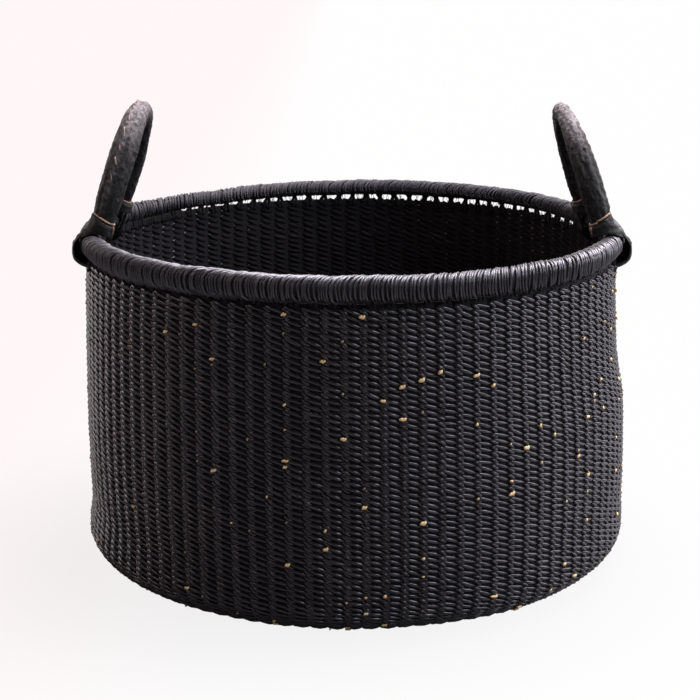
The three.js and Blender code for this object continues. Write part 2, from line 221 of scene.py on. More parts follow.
# Shared group: dyed grass with fibres along the strand, a tone for each stitch and worn high places
def grass_group():
    graph, given, output = new_group(
        "grass_fibres",
        "ShaderNodeTree",
        [
            ("Along And Around", "Vector", None),
            ("Place", "Vector", None),
            ("Tone", "Float", 0.5),
            ("Lot", "Float", 0.5),
            ("Dye", "Color", rgba(0.012, 0.011, 0.013)),
            ("Worn", "Color", rgba(0.05, 0.045, 0.045)),
            ("Rough Low", "Float", 0.34),
            ("Rough High", "Float", 0.62),
        ],
        [("Color", "Color"), ("Roughness", "Float"), ("Height", "Float")],
    )
    tone = given["Tone"]
    lot = given["Lot"]
    along, around, _ = graph.separate(given["Along And Around"])
    shifted = graph.plus(around, graph.times(tone, 7.3))
    fibre_place = graph.combine(graph.times(along, 1.6), graph.times(shifted, 9.0), lot)
    fibres = graph.noise(fibre_place, scale=2.2, detail=3.0, roughness=0.6)
    patches = graph.noise(given["Place"], scale=26.0)
    worn = graph.ramp(graph.plus(fibres, graph.times(tone, 0.25)), 0.62, 0.86)
    faded = graph.times(worn, graph.ramp(patches, 0.35, 0.7, to_low=0.25))
    graph.feed(output["Color"], graph.mix_colors(faded, given["Dye"], given["Worn"]))
    mixed = graph.plus(graph.times(lot, 0.55), graph.times(fibres, 0.45))
    rough = graph.ramp(mixed, 0.15, 0.85, given["Rough Low"], given["Rough High"], "LINEAR")
    graph.feed(output["Roughness"], rough)
    graph.feed(output["Height"], fibres)
    return graph.tree


# Shared group: pebbled leather grain with creases and folds, made pale where a mask marks rubbed wear and a
# painted sheen
def leather_group():
    graph, given, output = new_group(
        "leather_grain",
        "ShaderNodeTree",
        [
            ("Place", "Vector", None),
            ("Grain Scale", "Float", 900.0),
            ("Dark", "Color", rgba(0.012, 0.011, 0.012)),
            ("Light", "Color", rgba(0.03, 0.027, 0.028)),
            ("Wear", "Float", 0.0),
            ("Worn", "Color", rgba(0.1, 0.085, 0.08)),
        ],
        [("Color", "Color"), ("Roughness", "Float"), ("Height", "Float")],
    )
    place = given["Place"]
    inputs = {"Vector": place, "Scale": given["Grain Scale"], "Randomness": 1.0}
    cells = graph.add("ShaderNodeTexVoronoi", inputs, feature="DISTANCE_TO_EDGE").outputs[0]
    pebbles = graph.ramp(cells, 0.0, 0.22)
    clouds = graph.noise(place, scale=70.0, detail=3.0, roughness=0.55)
    creases = graph.noise(place, scale=330.0, roughness=0.6)
    folds = graph.noise(place, scale=170.0, detail=3.0, roughness=0.65)
    rubs = graph.noise(place, scale=240.0, detail=3.0, roughness=0.6)
    mottled = graph.times(graph.ramp(clouds, 0.35, 0.7), graph.ramp(creases, 0.2, 0.8, to_low=0.55))
    plain = graph.mix_colors(mottled, given["Dark"], given["Light"])
    # Pale where the mask marks rubbed wear and painted sheen
    rubbed_and_painted_sheen = graph.times(given["Wear"], graph.ramp(rubs, 0.35, 0.65))
    graph.feed(output["Color"], graph.mix_colors(rubbed_and_painted_sheen, plain, given["Worn"]))
    rough = graph.ramp(graph.plus(clouds, creases), 0.6, 1.4, to_low=0.42, to_high=0.62)
    graph.feed(output["Roughness"], rough)
    grain = graph.plus(graph.times(pebbles, 0.15), graph.times(creases, 0.5))
    graph.feed(output["Height"], graph.plus(grain, graph.times(folds, 1.6)))
    return graph.tree


# Shared group: pale dust that settles on faces that look up
def dust_group():
    graph, given, output = new_group(
        "dust",
        "ShaderNodeTree",
        [
            ("Color", "Color", rgba(0, 0, 0)),
            ("Place", "Vector", None),
            ("Dust", "Color", rgba(0.3, 0.27, 0.25)),
            ("Amount", "Float", 0.1),
        ],
        [("Color", "Color")],
    )
    normal = graph.add("ShaderNodeNewGeometry").outputs["Normal"]
    upward = graph.ramp(graph.vector_math("DOT_PRODUCT", normal, (0.0, 0.0, 1.0)), 0.1, 0.95)
    specks = graph.ramp(graph.noise(given["Place"], scale=420.0, detail=3.0, roughness=0.65), 0.42, 0.72)
    mask = graph.times(graph.times(upward, specks), given["Amount"])
    graph.feed(output["Color"], graph.mix_colors(mask, given["Color"], given["Dust"]))
    return graph.tree


GRASS = grass_group()
LEATHER = leather_group()
DUST = dust_group()


# Emptied node tree of a material or a world
def empty_graph(owner):
    owner.use_nodes = True
    owner.node_tree.nodes.clear()
    return Graph(owner.node_tree)


# Material with one shader, whose constant inputs are given here
def blank_material(name, constants):
    material = bpy.data.materials.new(name)
    graph = empty_graph(material)
    shader = graph.add("ShaderNodeBsdfPrincipled", constants)
    graph.add("ShaderNodeOutputMaterial", {"Surface": shader.outputs[0]})
    return material, graph, shader.inputs


def bump(graph, shader, height, distance, strength):
    inputs = {"Height": height, "Distance": distance, "Strength": strength}
    graph.feed(shader["Normal"], graph.add("ShaderNodeBump", inputs).outputs[0])


def sheen_look(weight, roughness, tint):
    return {"Sheen Weight": weight, "Sheen Roughness": roughness, "Sheen Tint": rgba(*tint)}


# Depths, along Y, between which the grass gets duller towards the back
DULL_FROM = -140 * MM
DULL_TO = 60 * MM


# Twined or wrapped grass
def grass_material(
    name,
    dye,
    worn,
    rough,
    dust=0.06,
    specular=0.5,
    tint=(0.93, 0.9, 1.0),
    ior=1.5,
    sheen=0.0,
    dull_back=0.0,
    relief=0.12 * MM,
):
    constants = {"Specular IOR Level": specular, "Specular Tint": rgba(*tint), "IOR": ior}
    constants.update(sheen_look(sheen, 0.35, (0.92, 0.86, 0.95)))
    material, graph, shader = blank_material(name, constants)
    place = graph.place()
    grass = graph.group(
        GRASS,
        {
            "Along And Around": graph.add("ShaderNodeUVMap", uv_map="UVMap").outputs[0],
            "Place": place,
            "Tone": graph.attribute("tone"),
            "Lot": graph.attribute("lot"),
            "Dye": rgba(*dye),
            "Worn": rgba(*worn),
            "Rough Low": rough[0],
            "Rough High": rough[1],
        },
    )
    dusty = graph.group(DUST, {"Color": grass["Color"], "Place": place, "Amount": dust})
    graph.feed(shader["Base Color"], dusty["Color"])
    duller = graph.ramp(graph.separate(place)[1], DULL_FROM, DULL_TO, to_high=dull_back)
    graph.feed(shader["Roughness"], graph.plus(grass["Roughness"], duller))
    bump(graph, shader, grass["Height"], relief, strength=0.6)
    return material


# Soft black leather. The attribute for wear and painted sheen marks ridges and edges that are rubbed, and the
# upward faces over the top of the arch, where it paints a sheen.
def leather_material(name, dark, light, worn, specular, dust=0.08, sheen=0.06):
    constants = {"Specular IOR Level": specular}
    constants.update(sheen_look(sheen, 0.4, (0.95, 0.84, 0.92)))
    material, graph, shader = blank_material(name, constants)
    place = graph.place()
    looks = {"Dark": rgba(*dark), "Light": rgba(*light), "Worn": rgba(*worn)}
    grain = graph.group(LEATHER, {"Place": place, "Wear": graph.attribute("wear"), **looks})
    dusty = graph.group(DUST, {"Color": grain["Color"], "Place": place, "Amount": dust})
    graph.feed(shader["Base Color"], dusty["Color"])
    graph.feed(shader["Roughness"], grain["Roughness"])
    bump(graph, shader, grain["Height"], 0.9 * MM, strength=0.8)
    return material


# Waxed thread of two plies, which turn round each other the given number of times, or undyed straw
def thread_material(name, pale, deep, roughness, ply_turns=0.0):
    material, graph, shader = blank_material(name, {"Roughness": roughness})
    along, around, _ = graph.separate(graph.add("ShaderNodeUVMap", uv_map="UVMap").outputs[0])
    clouds = graph.noise(graph.place(), scale=300.0, detail=3.0, roughness=0.6)
    stripes = graph.noise(graph.combine(along, graph.times(around, 8.0), 0.0), scale=3.0)
    blend = graph.times(graph.ramp(clouds, 0.3, 0.7), graph.ramp(stripes, 0.25, 0.75, to_low=0.5))
    graph.feed(shader["Base Color"], graph.mix_colors(blend, rgba(*deep), rgba(*pale)))
    height = stripes
    if ply_turns:
        turns = graph.plus(graph.times(along, ply_turns), around)
        twist = graph.math("SINE", graph.times(turns, 4 * math.pi))
        height = graph.plus(graph.times(twist, 0.5), stripes)
    bump(graph, shader, height, 0.2 * MM, strength=0.8)
    return material


WALL_GRASS = grass_material(
    "wall_grass", dye=(0.0075, 0.0066, 0.0074), worn=(0.05, 0.044, 0.048), rough=(0.09, 0.17), specular=0.7
)
# Inside faces: the same grass with a lighter dye than outside, a painted fill light over the dark inside
INSIDE_GRASS_PAINTED_FILL = grass_material(
    "inside_grass",
    dye=(0.0125, 0.011, 0.0125),
    worn=(0.03, 0.026, 0.03),
    rough=(0.85, 0.95),
    dust=0.01,
    specular=0.05,
)
RIM_GRASS = grass_material(
    "rim_grass",
    dye=(0.009, 0.008, 0.01),
    worn=(0.05, 0.043, 0.05),
    rough=(0.26, 0.44),
    dust=0.22,
    ior=1.8,
    sheen=0.08,
    dull_back=0.55,
    relief=0.4 * MM,
)
# Grass of the inner strands of wall and rim, seen only in shade: its dye is lighter than the wall grass, a
# painted fill light
SHADED_GRASS_PAINTED_FILL = grass_material(
    "shaded_grass",
    dye=(0.014, 0.0125, 0.0145),
    worn=(0.02, 0.018, 0.02),
    rough=(0.8, 0.9),
    dust=0.0,
    specular=0.2,
)
STAKE_GRASS = grass_material(
    "stake_grass", dye=(0.006, 0.005, 0.006), worn=(0.03, 0.022, 0.018), rough=(0.5, 0.75), specular=0.3
)
CORE_GRASS = grass_material(
    "core_grass", dye=(0.12, 0.09, 0.06), worn=(0.3, 0.24, 0.16), rough=(0.6, 0.8), tint=(1, 1, 1)
)
SLEEVE_LEATHER = leather_material(
    "sleeve_leather",
    dark=(0.004, 0.0036, 0.0042),
    light=(0.012, 0.0105, 0.0112),
    worn=(0.22, 0.18, 0.19),
    specular=0.3,
)
STRAP_LEATHER = leather_material(
    "strap_leather",
    dark=(0.003, 0.0027, 0.003),
    light=(0.007, 0.0062, 0.0062),
    worn=(0.13, 0.11, 0.095),
    specular=0.25,
    dust=0.03,
    sheen=0.01,
)
LACING_THREAD = thread_material(
    "lacing_thread", pale=(0.4, 0.26, 0.25), deep=(0.16, 0.09, 0.085), roughness=0.6, ply_turns=3.0
)
BINDING_THREAD = thread_material(
    "binding_thread", pale=(0.5, 0.33, 0.24), deep=(0.26, 0.15, 0.11), roughness=0.55, ply_turns=24.0
)
GOLDEN_STRAW = thread_material(
    "golden_straw", pale=(0.98, 0.78, 0.46), deep=(0.85, 0.55, 0.24), roughness=0.4
)
PALE_STRAW = thread_material("pale_straw", pale=(0.6, 0.42, 0.27), deep=(0.3, 0.18, 0.1), roughness=0.45)


# Sweep of rings of points to a closed skin, with u along the sweep and v around it
def skin(rings, looped=False):
    mesh = bpy.data.meshes.new("skin")
    shape = bmesh.new()
    uv = shape.loops.layers.uv.new("UVMap")
    sides = len(rings[0])
    rows = [[shape.verts.new(point) for point in ring] for ring in rings]
    spans = len(rows) if looped else len(rows) - 1
    for i in range(spans):
        for j in range(sides):
            k = (j + 1) % sides
            following = rows[(i + 1) % len(rows)]
            face = shape.faces.new((rows[i][j], rows[i][k], following[k], following[j]))
            marks = ((i, j), (i, j + 1), (i + 1, j + 1), (i + 1, j))
            for loop, (u, v) in zip(face.loops, marks):
                loop[uv].uv = (u / spans, v / sides)
    if not looped:
        for row, u in ((rows[0], 0.0), (rows[-1], 1.0)):
            middle = shape.verts.new(sum((vertex.co for vertex in row), Vector()) / sides)
            for j in range(sides):
                face = shape.faces.new((row[j], row[(j + 1) % sides], middle))
                for loop, v in zip(face.loops, (j, j + 1, j + 0.5)):
                    loop[uv].uv = (u, v / sides)
    bmesh.ops.recalc_face_normals(shape, faces=shape.faces)
    shape.to_mesh(mesh)
    shape.free()
    mesh.shade_smooth()
    return mesh


# Tube along a line of points. Each ring is an ellipse, and depth_axis says which way its depth lies.
def tube(points, heights, depths, sides, depth_axis=Vector((0, 1, 0))):
    rings = []
    for point, ahead, height, depth in zip(points, directions(points), heights, depths):
        deep = (depth_axis - ahead * depth_axis.dot(ahead)).normalized()
        tall = ahead.cross(deep)
        rings.append(
            [point + tall * height * math.cos(a) + deep * depth * math.sin(a) for a in turns_round(sides)]
        )
    return skin(rings)


def joined(meshes):
    shape = bmesh.new()
    for mesh in meshes:
        shape.from_mesh(mesh)
    whole = bpy.data.meshes.new("joined")
    shape.to_mesh(whole)
    shape.free()
    for material in meshes[0].materials:
        whole.materials.append(material)
    whole.shade_smooth()
    return whole


def placed(name, data):
    made = bpy.data.objects.new(name, data)
    bpy.context.scene.collection.objects.link(made)
    return made


def piece(name, mesh, material, body, slot, *nodes):
    made = placed(name, mesh)
    if not mesh.materials:
        mesh.materials.append(material)
    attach(made, body)
    if nodes:
        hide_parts(*nodes)


# Outside radius of the wall, as the solid has it
def wall_radius(height):
    if height > BELLY_HEIGHT:
        rise = (height - BELLY_HEIGHT) / (WALL_TOP - BELLY_HEIGHT)
        return BELLY_RADIUS - (BELLY_RADIUS - WALL_TOP_RADIUS) * rise**1.6
    drop = (BELLY_HEIGHT - height) / (BELLY_HEIGHT - CORNER_HEIGHT)
    return BELLY_RADIUS - (BELLY_RADIUS - WALL_FOOT_RADIUS) * drop**3


# Outline of the outside from the top of the wall down, round the corner and in to the middle of the base
def outside_outline(wall_steps=60, corner_steps=24, base_steps=100):
    points = []
    for i in range(wall_steps):
        height = WALL_TOP + (CORNER_HEIGHT - WALL_TOP) * i / wall_steps
        points.append(Vector((wall_radius(height), 0, height)))
    for i in range(corner_steps + 1):
        turn = math.pi / 2 * i / corner_steps
        reach = BASE_RADIUS + CORNER_WIDTH * math.cos(turn)
        points.append(Vector((reach, 0, CORNER_HEIGHT * (1 - math.sin(turn)))))
    for i in range(1, base_steps + 1):
        points.append(Vector((BASE_RADIUS * (1 - i / base_steps), 0, 0)))
    return points


# The outline moved inwards, square to itself
def inset_outline(points, distance):
    moved = [
        point + Vector((ahead.z, 0, -ahead.x)) * distance for point, ahead in zip(points, directions(points))
    ]
    moved[-1].x = 0
    return [point for point in moved if point.x >= 0]


OUTSIDE = outside_outline()
INSIDE = inset_outline(OUTSIDE, WALL_THICKNESS)

# Curves and shapes that the tree reads, removed when the basket is made
HELPERS = []

# Shapes in each set, of which the tree takes one at random for each place
SET_SIZE = 4


def outline_curve(name, points):
    curve = bpy.data.curves.new(name, "CURVE")
    curve.dimensions = "3D"
    line = curve.splines.new("POLY")
    line.points.add(len(points) - 1)
    for spot, point in zip(line.points, points):
        spot.co = (point.x, point.y, point.z, 1)
    made = placed(name, curve)
    HELPERS.append(made)
    return made


def shapes_to_repeat(name, meshes):
    collection = bpy.data.collections.new(name)
    bpy.context.scene.collection.children.link(collection)
    for i, mesh in enumerate(meshes):
        collection.objects.link(bpy.data.objects.new(f"{name}_{i}", mesh))
    HELPERS.append(collection)
    return collection


def clear_helpers():
    for helper in HELPERS:
        if isinstance(helper, bpy.types.Collection):
            for member in list(helper.objects):
                bpy.data.objects.remove(member)
            bpy.data.collections.remove(helper)
        else:
            bpy.data.objects.remove(helper)


# Weave
ROW_PITCH = 5.15 * MM
STITCH_PITCH = 15.8 * MM
STITCH_OVERLAP = 1.22
STITCH_HEIGHT = 3.6 * MM
STITCH_DROP = 3.3 * MM
STITCH_PLUNGE = 4.2 * MM
STRAND_DEPTH = 3.2 * MM
DEEPEST_STRAND = 3.7 * MM
CROSSING_HALF_LENGTH = 3.9 * MM
CROSSING_DEPTH = 1.7 * MM
CROSSING_BOW = 1.4 * MM
CROSSING_DROP = 2.4 * MM
CROSSING_SCATTER = 0.3 * MM
CROSSING_HALF_HEIGHTS = (0.9 * MM, 1.5 * MM, 1.5 * MM, 0.9 * MM)
CROSSING_HALF_DEPTH = 1.2 * MM


# One stitch of a twined row: it comes out of the left gap, bulges over the stake and dives lower into
# the right gap. X runs along the row, Y into the wall and Z up.
def stitch_mesh(seed, rings, sides):
    chance = random.Random(seed)
    half_length = STITCH_PITCH * STITCH_OVERLAP / 2
    crest = chance.uniform(-0.5, -0.3)
    points = []
    heights = []
    depths = []
    for i in range(rings):
        t = -1 + 2 * i / (rings - 1)
        t = math.copysign(abs(t) ** 0.9, t)
        if t < crest:
            bulge = math.cos((t - crest) / (1 + crest) * math.pi / 2) ** 0.6
        else:
            bulge = max(0.0, math.cos((t - crest) / (1 - crest) * math.pi / 2)) ** 0.8
        depth = min(STRAND_DEPTH / 2 + (1 - bulge) * STITCH_PLUNGE, DEEPEST_STRAND)
        points.append(Vector((t * half_length, depth, -STITCH_DROP * t)))
        slim = 1 - 0.45 * abs(t) ** 2.5
        heights.append(STITCH_HEIGHT / 2 * slim * chance.uniform(0.94, 1.04))
        depths.append(STRAND_DEPTH / 2 * slim)
    return tube(points, heights, depths, sides)


# The other strand of a row where it crosses behind in the gap between two stakes
def crossing_mesh(seed):
    chance = random.Random(seed)
    points = []
    for i in range(4):
        t = -1 + 2 * i / 3
        depth = CROSSING_DEPTH + CROSSING_BOW * t * t
        height = chance.uniform(-CROSSING_SCATTER, CROSSING_SCATTER) - CROSSING_DROP * t
        points.append(Vector((CROSSING_HALF_LENGTH * t, depth, height)))
    return tube(points, CROSSING_HALF_HEIGHTS, [CROSSING_HALF_DEPTH] * 4, 6)


# Tree: shapes set in rows round the basket, from a start distance along the outline. A stitch's tone is
# its own, and its lot is shared by the stitches that one length of strand makes.
STITCHES_PER_STRAND = 11
STRANDS_PER_ROW = 97
FLECK_SIDE_TURN = 0.5


def rows_tree():
    graph, given, output = new_group(
        "twined_rows",
        "GeometryNodeTree",
        [
            ("Outline", "Object", None),
            ("Shapes", "Collection", None),
            ("Material", "Material", None),
            ("Columns", "Int", STAKES),
            ("First Column", "Int", 0),
            ("Column Count", "Int", STAKES),
            ("Column Shift", "Float", 0.5),
            ("Rows", "Int", 10),
            ("Start", "Float", 0.0),
            ("Row Pitch", "Float", ROW_PITCH),
            ("Stitch Pitch", "Float", STITCH_PITCH),
            ("Face", "Float", 1.0),
            ("Tilt", "Float", 0.05),
            ("Lift", "Float", 0.25 * MM),
            ("Size Spread", "Float", 0.06),
            ("Left Chance", "Float", 1.0),
            ("Right Chance", "Float", 1.0),
            ("Seed", "Int", 1),
        ],
        [("Geometry", "Geometry")],
    )
    index = graph.add("GeometryNodeInputIndex").outputs[0]
    column = graph.plus(graph.math("MODULO", index, given["Column Count"]), given["First Column"])
    row = graph.math("FLOOR", graph.over(graph.plus(index, 0.001), given["Column Count"]))
    part_of_turn = graph.over(column, given["Columns"])
    shifted = graph.over(graph.plus(column, given["Column Shift"]), given["Columns"])
    angle = graph.times(shifted, 2 * math.pi)
    distance = graph.math("MULTIPLY_ADD", graph.plus(row, part_of_turn), given["Row Pitch"], given["Start"])

    def lottery(low, high, offset):
        inputs = {2: low, 3: high, "ID": index, "Seed": graph.plus(given["Seed"], offset)}
        return graph.add("FunctionNodeRandomValue", inputs, data_type="FLOAT").outputs[1]

    def turned(vector):
        inputs = {"Vector": vector, "Angle": angle}
        return graph.add("ShaderNodeVectorRotate", inputs, rotation_type="Z_AXIS").outputs[0]

    outline = graph.add("GeometryNodeObjectInfo", {"Object": given["Outline"]}).outputs["Geometry"]
    inputs = {"Curves": outline, "Length": distance}
    sample = graph.add("GeometryNodeSampleCurve", inputs, mode="LENGTH").outputs
    place = turned(sample["Position"])
    up_wall = graph.scaled(turned(sample["Tangent"]), -1.0)
    sideways = graph.scaled(turned((0.0, 1.0, 0.0)), given["Face"])
    outward = graph.vector_math("CROSS_PRODUCT", sideways, up_wall)
    tilt = lottery(graph.times(given["Tilt"], -1.0), given["Tilt"], 11)
    tilted_up = graph.vector_math("ADD", up_wall, graph.scaled(sideways, tilt))
    axes = {"primary_axis": "Z", "secondary_axis": "X"}
    rotation = graph.add("FunctionNodeAxesToRotation", {0: tilted_up, 1: sideways}, **axes).outputs[0]
    lift = lottery(graph.times(given["Lift"], -1.0), 0.0, 12)
    lifted = graph.vector_math("ADD", place, graph.scaled(outward, lift))

    radius = graph.vector_math("LENGTH", graph.vector_math("MULTIPLY", place, (1.0, 1.0, 0.0)))
    width = graph.over(graph.times(radius, 2 * math.pi), given["Columns"])
    stretch = graph.over(width, given["Stitch Pitch"])
    small = graph.math("SUBTRACT", 1.0, given["Size Spread"])
    large = graph.plus(1.0, given["Size Spread"])
    length = graph.times(stretch, lottery(small, large, 13))
    size = graph.combine(length, lottery(small, 1.0, 14), lottery(small, large, 15))

    right_side = graph.ramp(graph.math("COSINE", graph.plus(angle, FLECK_SIDE_TURN)), -0.7, 0.9)
    span = graph.math("SUBTRACT", given["Right Chance"], given["Left Chance"])
    chance = graph.math("MULTIPLY_ADD", right_side, span, given["Left Chance"])
    inputs = {"Count": graph.times(given["Column Count"], given["Rows"]), "Position": lifted}
    points = graph.add("GeometryNodePoints", inputs).outputs[0]
    inputs = {"Collection": given["Shapes"], "Separate Children": True, "Reset Children": True}
    shapes = graph.add("GeometryNodeCollectionInfo", inputs).outputs[0]
    current = graph.add(
        "GeometryNodeInstanceOnPoints",
        {
            "Points": points,
            "Selection": graph.math("LESS_THAN", lottery(0.0, 1.0, 16), chance),
            "Instance": shapes,
            "Pick Instance": True,
            "Instance Index": graph.math("FLOOR", lottery(0.0, SET_SIZE - 0.001, 17)),
            "Rotation": rotation,
            "Scale": size,
        },
    ).outputs[0]

    run = graph.math("FLOOR", graph.over(column, STITCHES_PER_STRAND))
    strand = graph.plus(graph.times(row, STRANDS_PER_ROW), run)
    alternate = graph.plus(graph.times(strand, 2.0), graph.math("MODULO", column, 2.0))
    scatter = graph.math("SINE", graph.times(alternate, 12.9898))
    lot = graph.math("ABSOLUTE", graph.math("FRACT", graph.times(scatter, 437.585)))
    for label, value in (("tone", lottery(0.0, 1.0, 18)), ("lot", lot)):
        inputs = {"Geometry": current, "Name": label, "Value": value}
        kinds = {"data_type": "FLOAT", "domain": "INSTANCE"}
        current = graph.add("GeometryNodeStoreNamedAttribute", inputs, **kinds).outputs[0]
    real = graph.add("GeometryNodeRealizeInstances", {"Geometry": current}).outputs[0]
    finish = graph.add("GeometryNodeSetMaterial", {"Geometry": real, "Material": given["Material"]})
    graph.feed(output["Geometry"], finish.outputs[0])
    return graph.tree


ROWS = rows_tree()


# Runs the tree on an empty mesh and gives the plain mesh that comes out. Each value has its socket's name.
def rows_mesh(**values):
    holder = placed("rows", bpy.data.meshes.new("rows"))
    modifier = holder.modifiers.new("grow", "NODES")
    modifier.node_group = ROWS
    for item in ROWS.interface.items_tree:
        name = item.name.lower().replace(" ", "_")
        if item.in_out == "INPUT" and name in values:
            modifier[item.identifier] = values[name]
    depsgraph = bpy.context.evaluated_depsgraph_get()
    result = holder.evaluated_get(depsgraph)
    mesh = bpy.data.meshes.new_from_object(result, preserve_all_data_layers=True, depsgraph=depsgraph)
    bpy.data.objects.remove(holder)
    mesh.shade_smooth()
    return mesh


# Heights between which the wall is drawn in at the right, under the rim, and pushed out below that
DRAWN_IN = 2.4 * MM
DRAWN_IN_BAND = (170 * MM, 205 * MM, 255 * MM, 280 * MM)
PUSHED_OUT = 3.2 * MM
PUSHED_OUT_BAND = (0, 60 * MM, 152 * MM, 180 * MM)

# The corner of the foot stands out a little at the two sides
FOOT_SWELL_RIGHT = 5.0 * MM
FOOT_SWELL_LEFT = 7.0 * MM
FOOT_SWELL_BAND = (0, 8 * MM, 22 * MM, 62 * MM)


def right_bulge(x, reach, z):
    share = max(0.0, x / max(reach, 10 * MM)) ** 3 * min(1.0, reach / BASE_RADIUS)
    return share * (PUSHED_OUT * band(z, *PUSHED_OUT_BAND) - DRAWN_IN * band(z, *DRAWN_IN_BAND))


def foot_swell(azimuth, z):
    side = math.cos(azimuth)
    most = FOOT_SWELL_RIGHT if side > 0 else FOOT_SWELL_LEFT
    return most * abs(side) ** 1.5 * band(z, *FOOT_SWELL_BAND)


def back_share(azimuth):
    return eased_step(math.sin(azimuth), 0.35, 0.75)


# Hand-made unevenness of the basket: the foot stands a little to one side, and the rows wander
FOOT_LEAN = 4.0 * MM
WALL_WAVE = 1.2 * MM
ROW_WANDER = 1.1 * MM
BACK_RAISE = 4.2 * MM
BACK_RAISE_FROM = 240 * MM


def settle(mesh):
    for vertex in mesh.vertices:
        x, y, z = vertex.co
        azimuth = math.atan2(y, x)
        reach = math.hypot(x, y)
        depth = WALL_TOP - z
        lean = FOOT_LEAN * clamp(depth / WALL_TOP) ** 1.3
        wave = WALL_WAVE * ring_noise(azimuth, 2.2, z * 9) * clamp(depth / (30 * MM))
        swell = (wave + foot_swell(azimuth, z)) * min(1.0, reach / BASE_RADIUS)
        scale = 1 + swell / reach if reach > 50 * MM else 1
        rows = ROW_WANDER * noise.noise(Vector((azimuth * 1.9, 7.0, z * 14)))
        rows *= clamp(z / (40 * MM)) * clamp(depth / (20 * MM))
        raised = BACK_RAISE * back_share(azimuth) * eased_step(z, BACK_RAISE_FROM, WALL_TOP)
        vertex.co = (x * scale + lean + right_bulge(x, reach, z), y * scale, z + rows + raised)
    mesh.update()


# Room for the four straps in the top of the weave: the strands are pushed to either side
NOTCH_HALF_WIDTH = 9.3 * MM
STAKE_NOTCH_HALF_WIDTH = 13.0 * MM
NOTCH_FLOOR = 273.1 * MM
NOTCH_LEAST_X = 200 * MM


def part_for_straps(mesh, half_width=NOTCH_HALF_WIDTH):
    for vertex in mesh.vertices:
        x, y, z = vertex.co
        if z > NOTCH_FLOOR and abs(x) > NOTCH_LEAST_X:
            side = math.copysign(HANDLE_HALF_SPAN, y)
            gap = y - side
            if abs(gap) < half_width:
                pushed = half_width + (half_width - abs(gap)) * 0.1
                vertex.co.y = side + math.copysign(pushed, gap)
    mesh.update()


# Wall and base
OUTER_STITCHES = shapes_to_repeat("outer_stitch", [stitch_mesh(10 + i, 6, 5) for i in range(SET_SIZE)])
INNER_STITCHES = shapes_to_repeat("inner_stitch", [stitch_mesh(30 + i, 4, 5) for i in range(SET_SIZE)])
CROSSINGS = shapes_to_repeat("crossing", [crossing_mesh(40 + i) for i in range(SET_SIZE)])
OUTSIDE_CURVE = outline_curve("outside_line", OUTSIDE)
INSIDE_CURVE = outline_curve("inside_line", INSIDE)

WALL_ROWS = 60
FIRST_ROW = 0.4

# Name, outline, shapes, material, way it faces, place in the column and seed
WALL_FACES = (
    ("wall_outside", OUTSIDE_CURVE, OUTER_STITCHES, WALL_GRASS, 1.0, 0.5, 100),
    ("wall_crossings", OUTSIDE_CURVE, CROSSINGS, WALL_GRASS, 1.0, 0.08, 200),
    ("wall_inside", INSIDE_CURVE, INNER_STITCHES, INSIDE_GRASS_PAINTED_FILL, -1.0, 0.5, 300),
)
BASE_FACES = (
    ("base_underside_rows", OUTSIDE_CURVE, WALL_GRASS, 1.0, 500),
    ("base_inside_rows", INSIDE_CURVE, INSIDE_GRASS_PAINTED_FILL, -1.0, 700),
)

# Columns and rows of the base's zones, from its edge to its middle
BASE_ZONES = ((98, 20), (49, 10), (24, 6), (12, 3))

for half, first in (("back", 0), ("front", STAKES // 2)):
    for name, curve, shapes, material, face, shift, seed in WALL_FACES:
        half_wall = rows_mesh(
            outline=curve,
            shapes=shapes,
            material=material,
            first_column=first,
            column_count=STAKES // 2,
            column_shift=shift,
            rows=WALL_ROWS,
            start=FIRST_ROW * ROW_PITCH,
            face=face,
            tilt=0.08,
            lift=0.45 * MM,
            size_spread=0.09,
            seed=seed + first,
        )
        part_for_straps(half_wall)
        settle(half_wall)
        piece(f"{name}_{half}", half_wall, material, "basket", "dyed_grass", "wall_weave")

for name, curve, material, face, seed in BASE_FACES:
    zones = []
    rows_before = WALL_ROWS
    for columns, rows in BASE_ZONES:
        zone = rows_mesh(
            outline=curve,
            shapes=INNER_STITCHES,
            material=material,
            columns=columns,
            column_count=columns,
            rows=rows,
            start=(FIRST_ROW + rows_before) * ROW_PITCH,
            face=face,
            seed=seed + columns,
        )
        zones.append(zone)
        rows_before += rows
    base_rows = joined(zones)
    settle(base_rows)
    piece(name, base_rows, material, "basket", "dyed_grass", "base_weave")


# Dark closed sheet between the two faces of the weave, seen only through the gaps: it stands for the inner
# strands and stakes, and is a painted shade for the deep gaps between them
BACKING_INSETS = (3.1 * MM, 4.6 * MM)
BACKING_STEPS = 2 * STAKES


def backing_mesh():
    outer, inner = (inset_outline(OUTSIDE, inset)[:-1] for inset in BACKING_INSETS)
    outline = outer + inner[::-1]
    rings = []
    for angle in turns_round(BACKING_STEPS):
        rings.append([Vector((p.x * math.cos(angle), p.x * math.sin(angle), p.z)) for p in outline])
    mesh = skin(rings, looped=True)
    part_for_straps(mesh)
    settle(mesh)
    return mesh


piece("wall_inner_strands", backing_mesh(), SHADED_GRASS_PAINTED_FILL, "basket", "dyed_grass", "wall_weave")

# Rim: strands wrapped over and over round the bundle, each loop leaning along the rim over the top
RIM_LOOPS = 620
RIM_LOOP_PITCH = 2 * math.pi * RIM_RADIUS / RIM_LOOPS
RIM_SQUARENESS = 2.6
RIM_STRAND_HEIGHT = 1.2 * MM
RIM_STRAND_WIDTH = 1.12 * MM
RIM_STRAND_INSET = 1.0 * MM
RIM_STRAND_LEAN = (4.6 * MM, 8.0 * MM)
RIM_STRAND_SWELL = (-0.4 * MM, 0.45 * MM)
RIM_STRAND_SWAY = 0.35 * MM
RIM_INNER_LIFT = 7.0 * MM


# The rim hangs lower outside than inside. A turn of 0 is outside and a quarter turn is on top.
def inner_lift(turn):
    return RIM_INNER_LIFT * max(0.0, -math.cos(turn)) * max(0.0, -math.sin(turn))


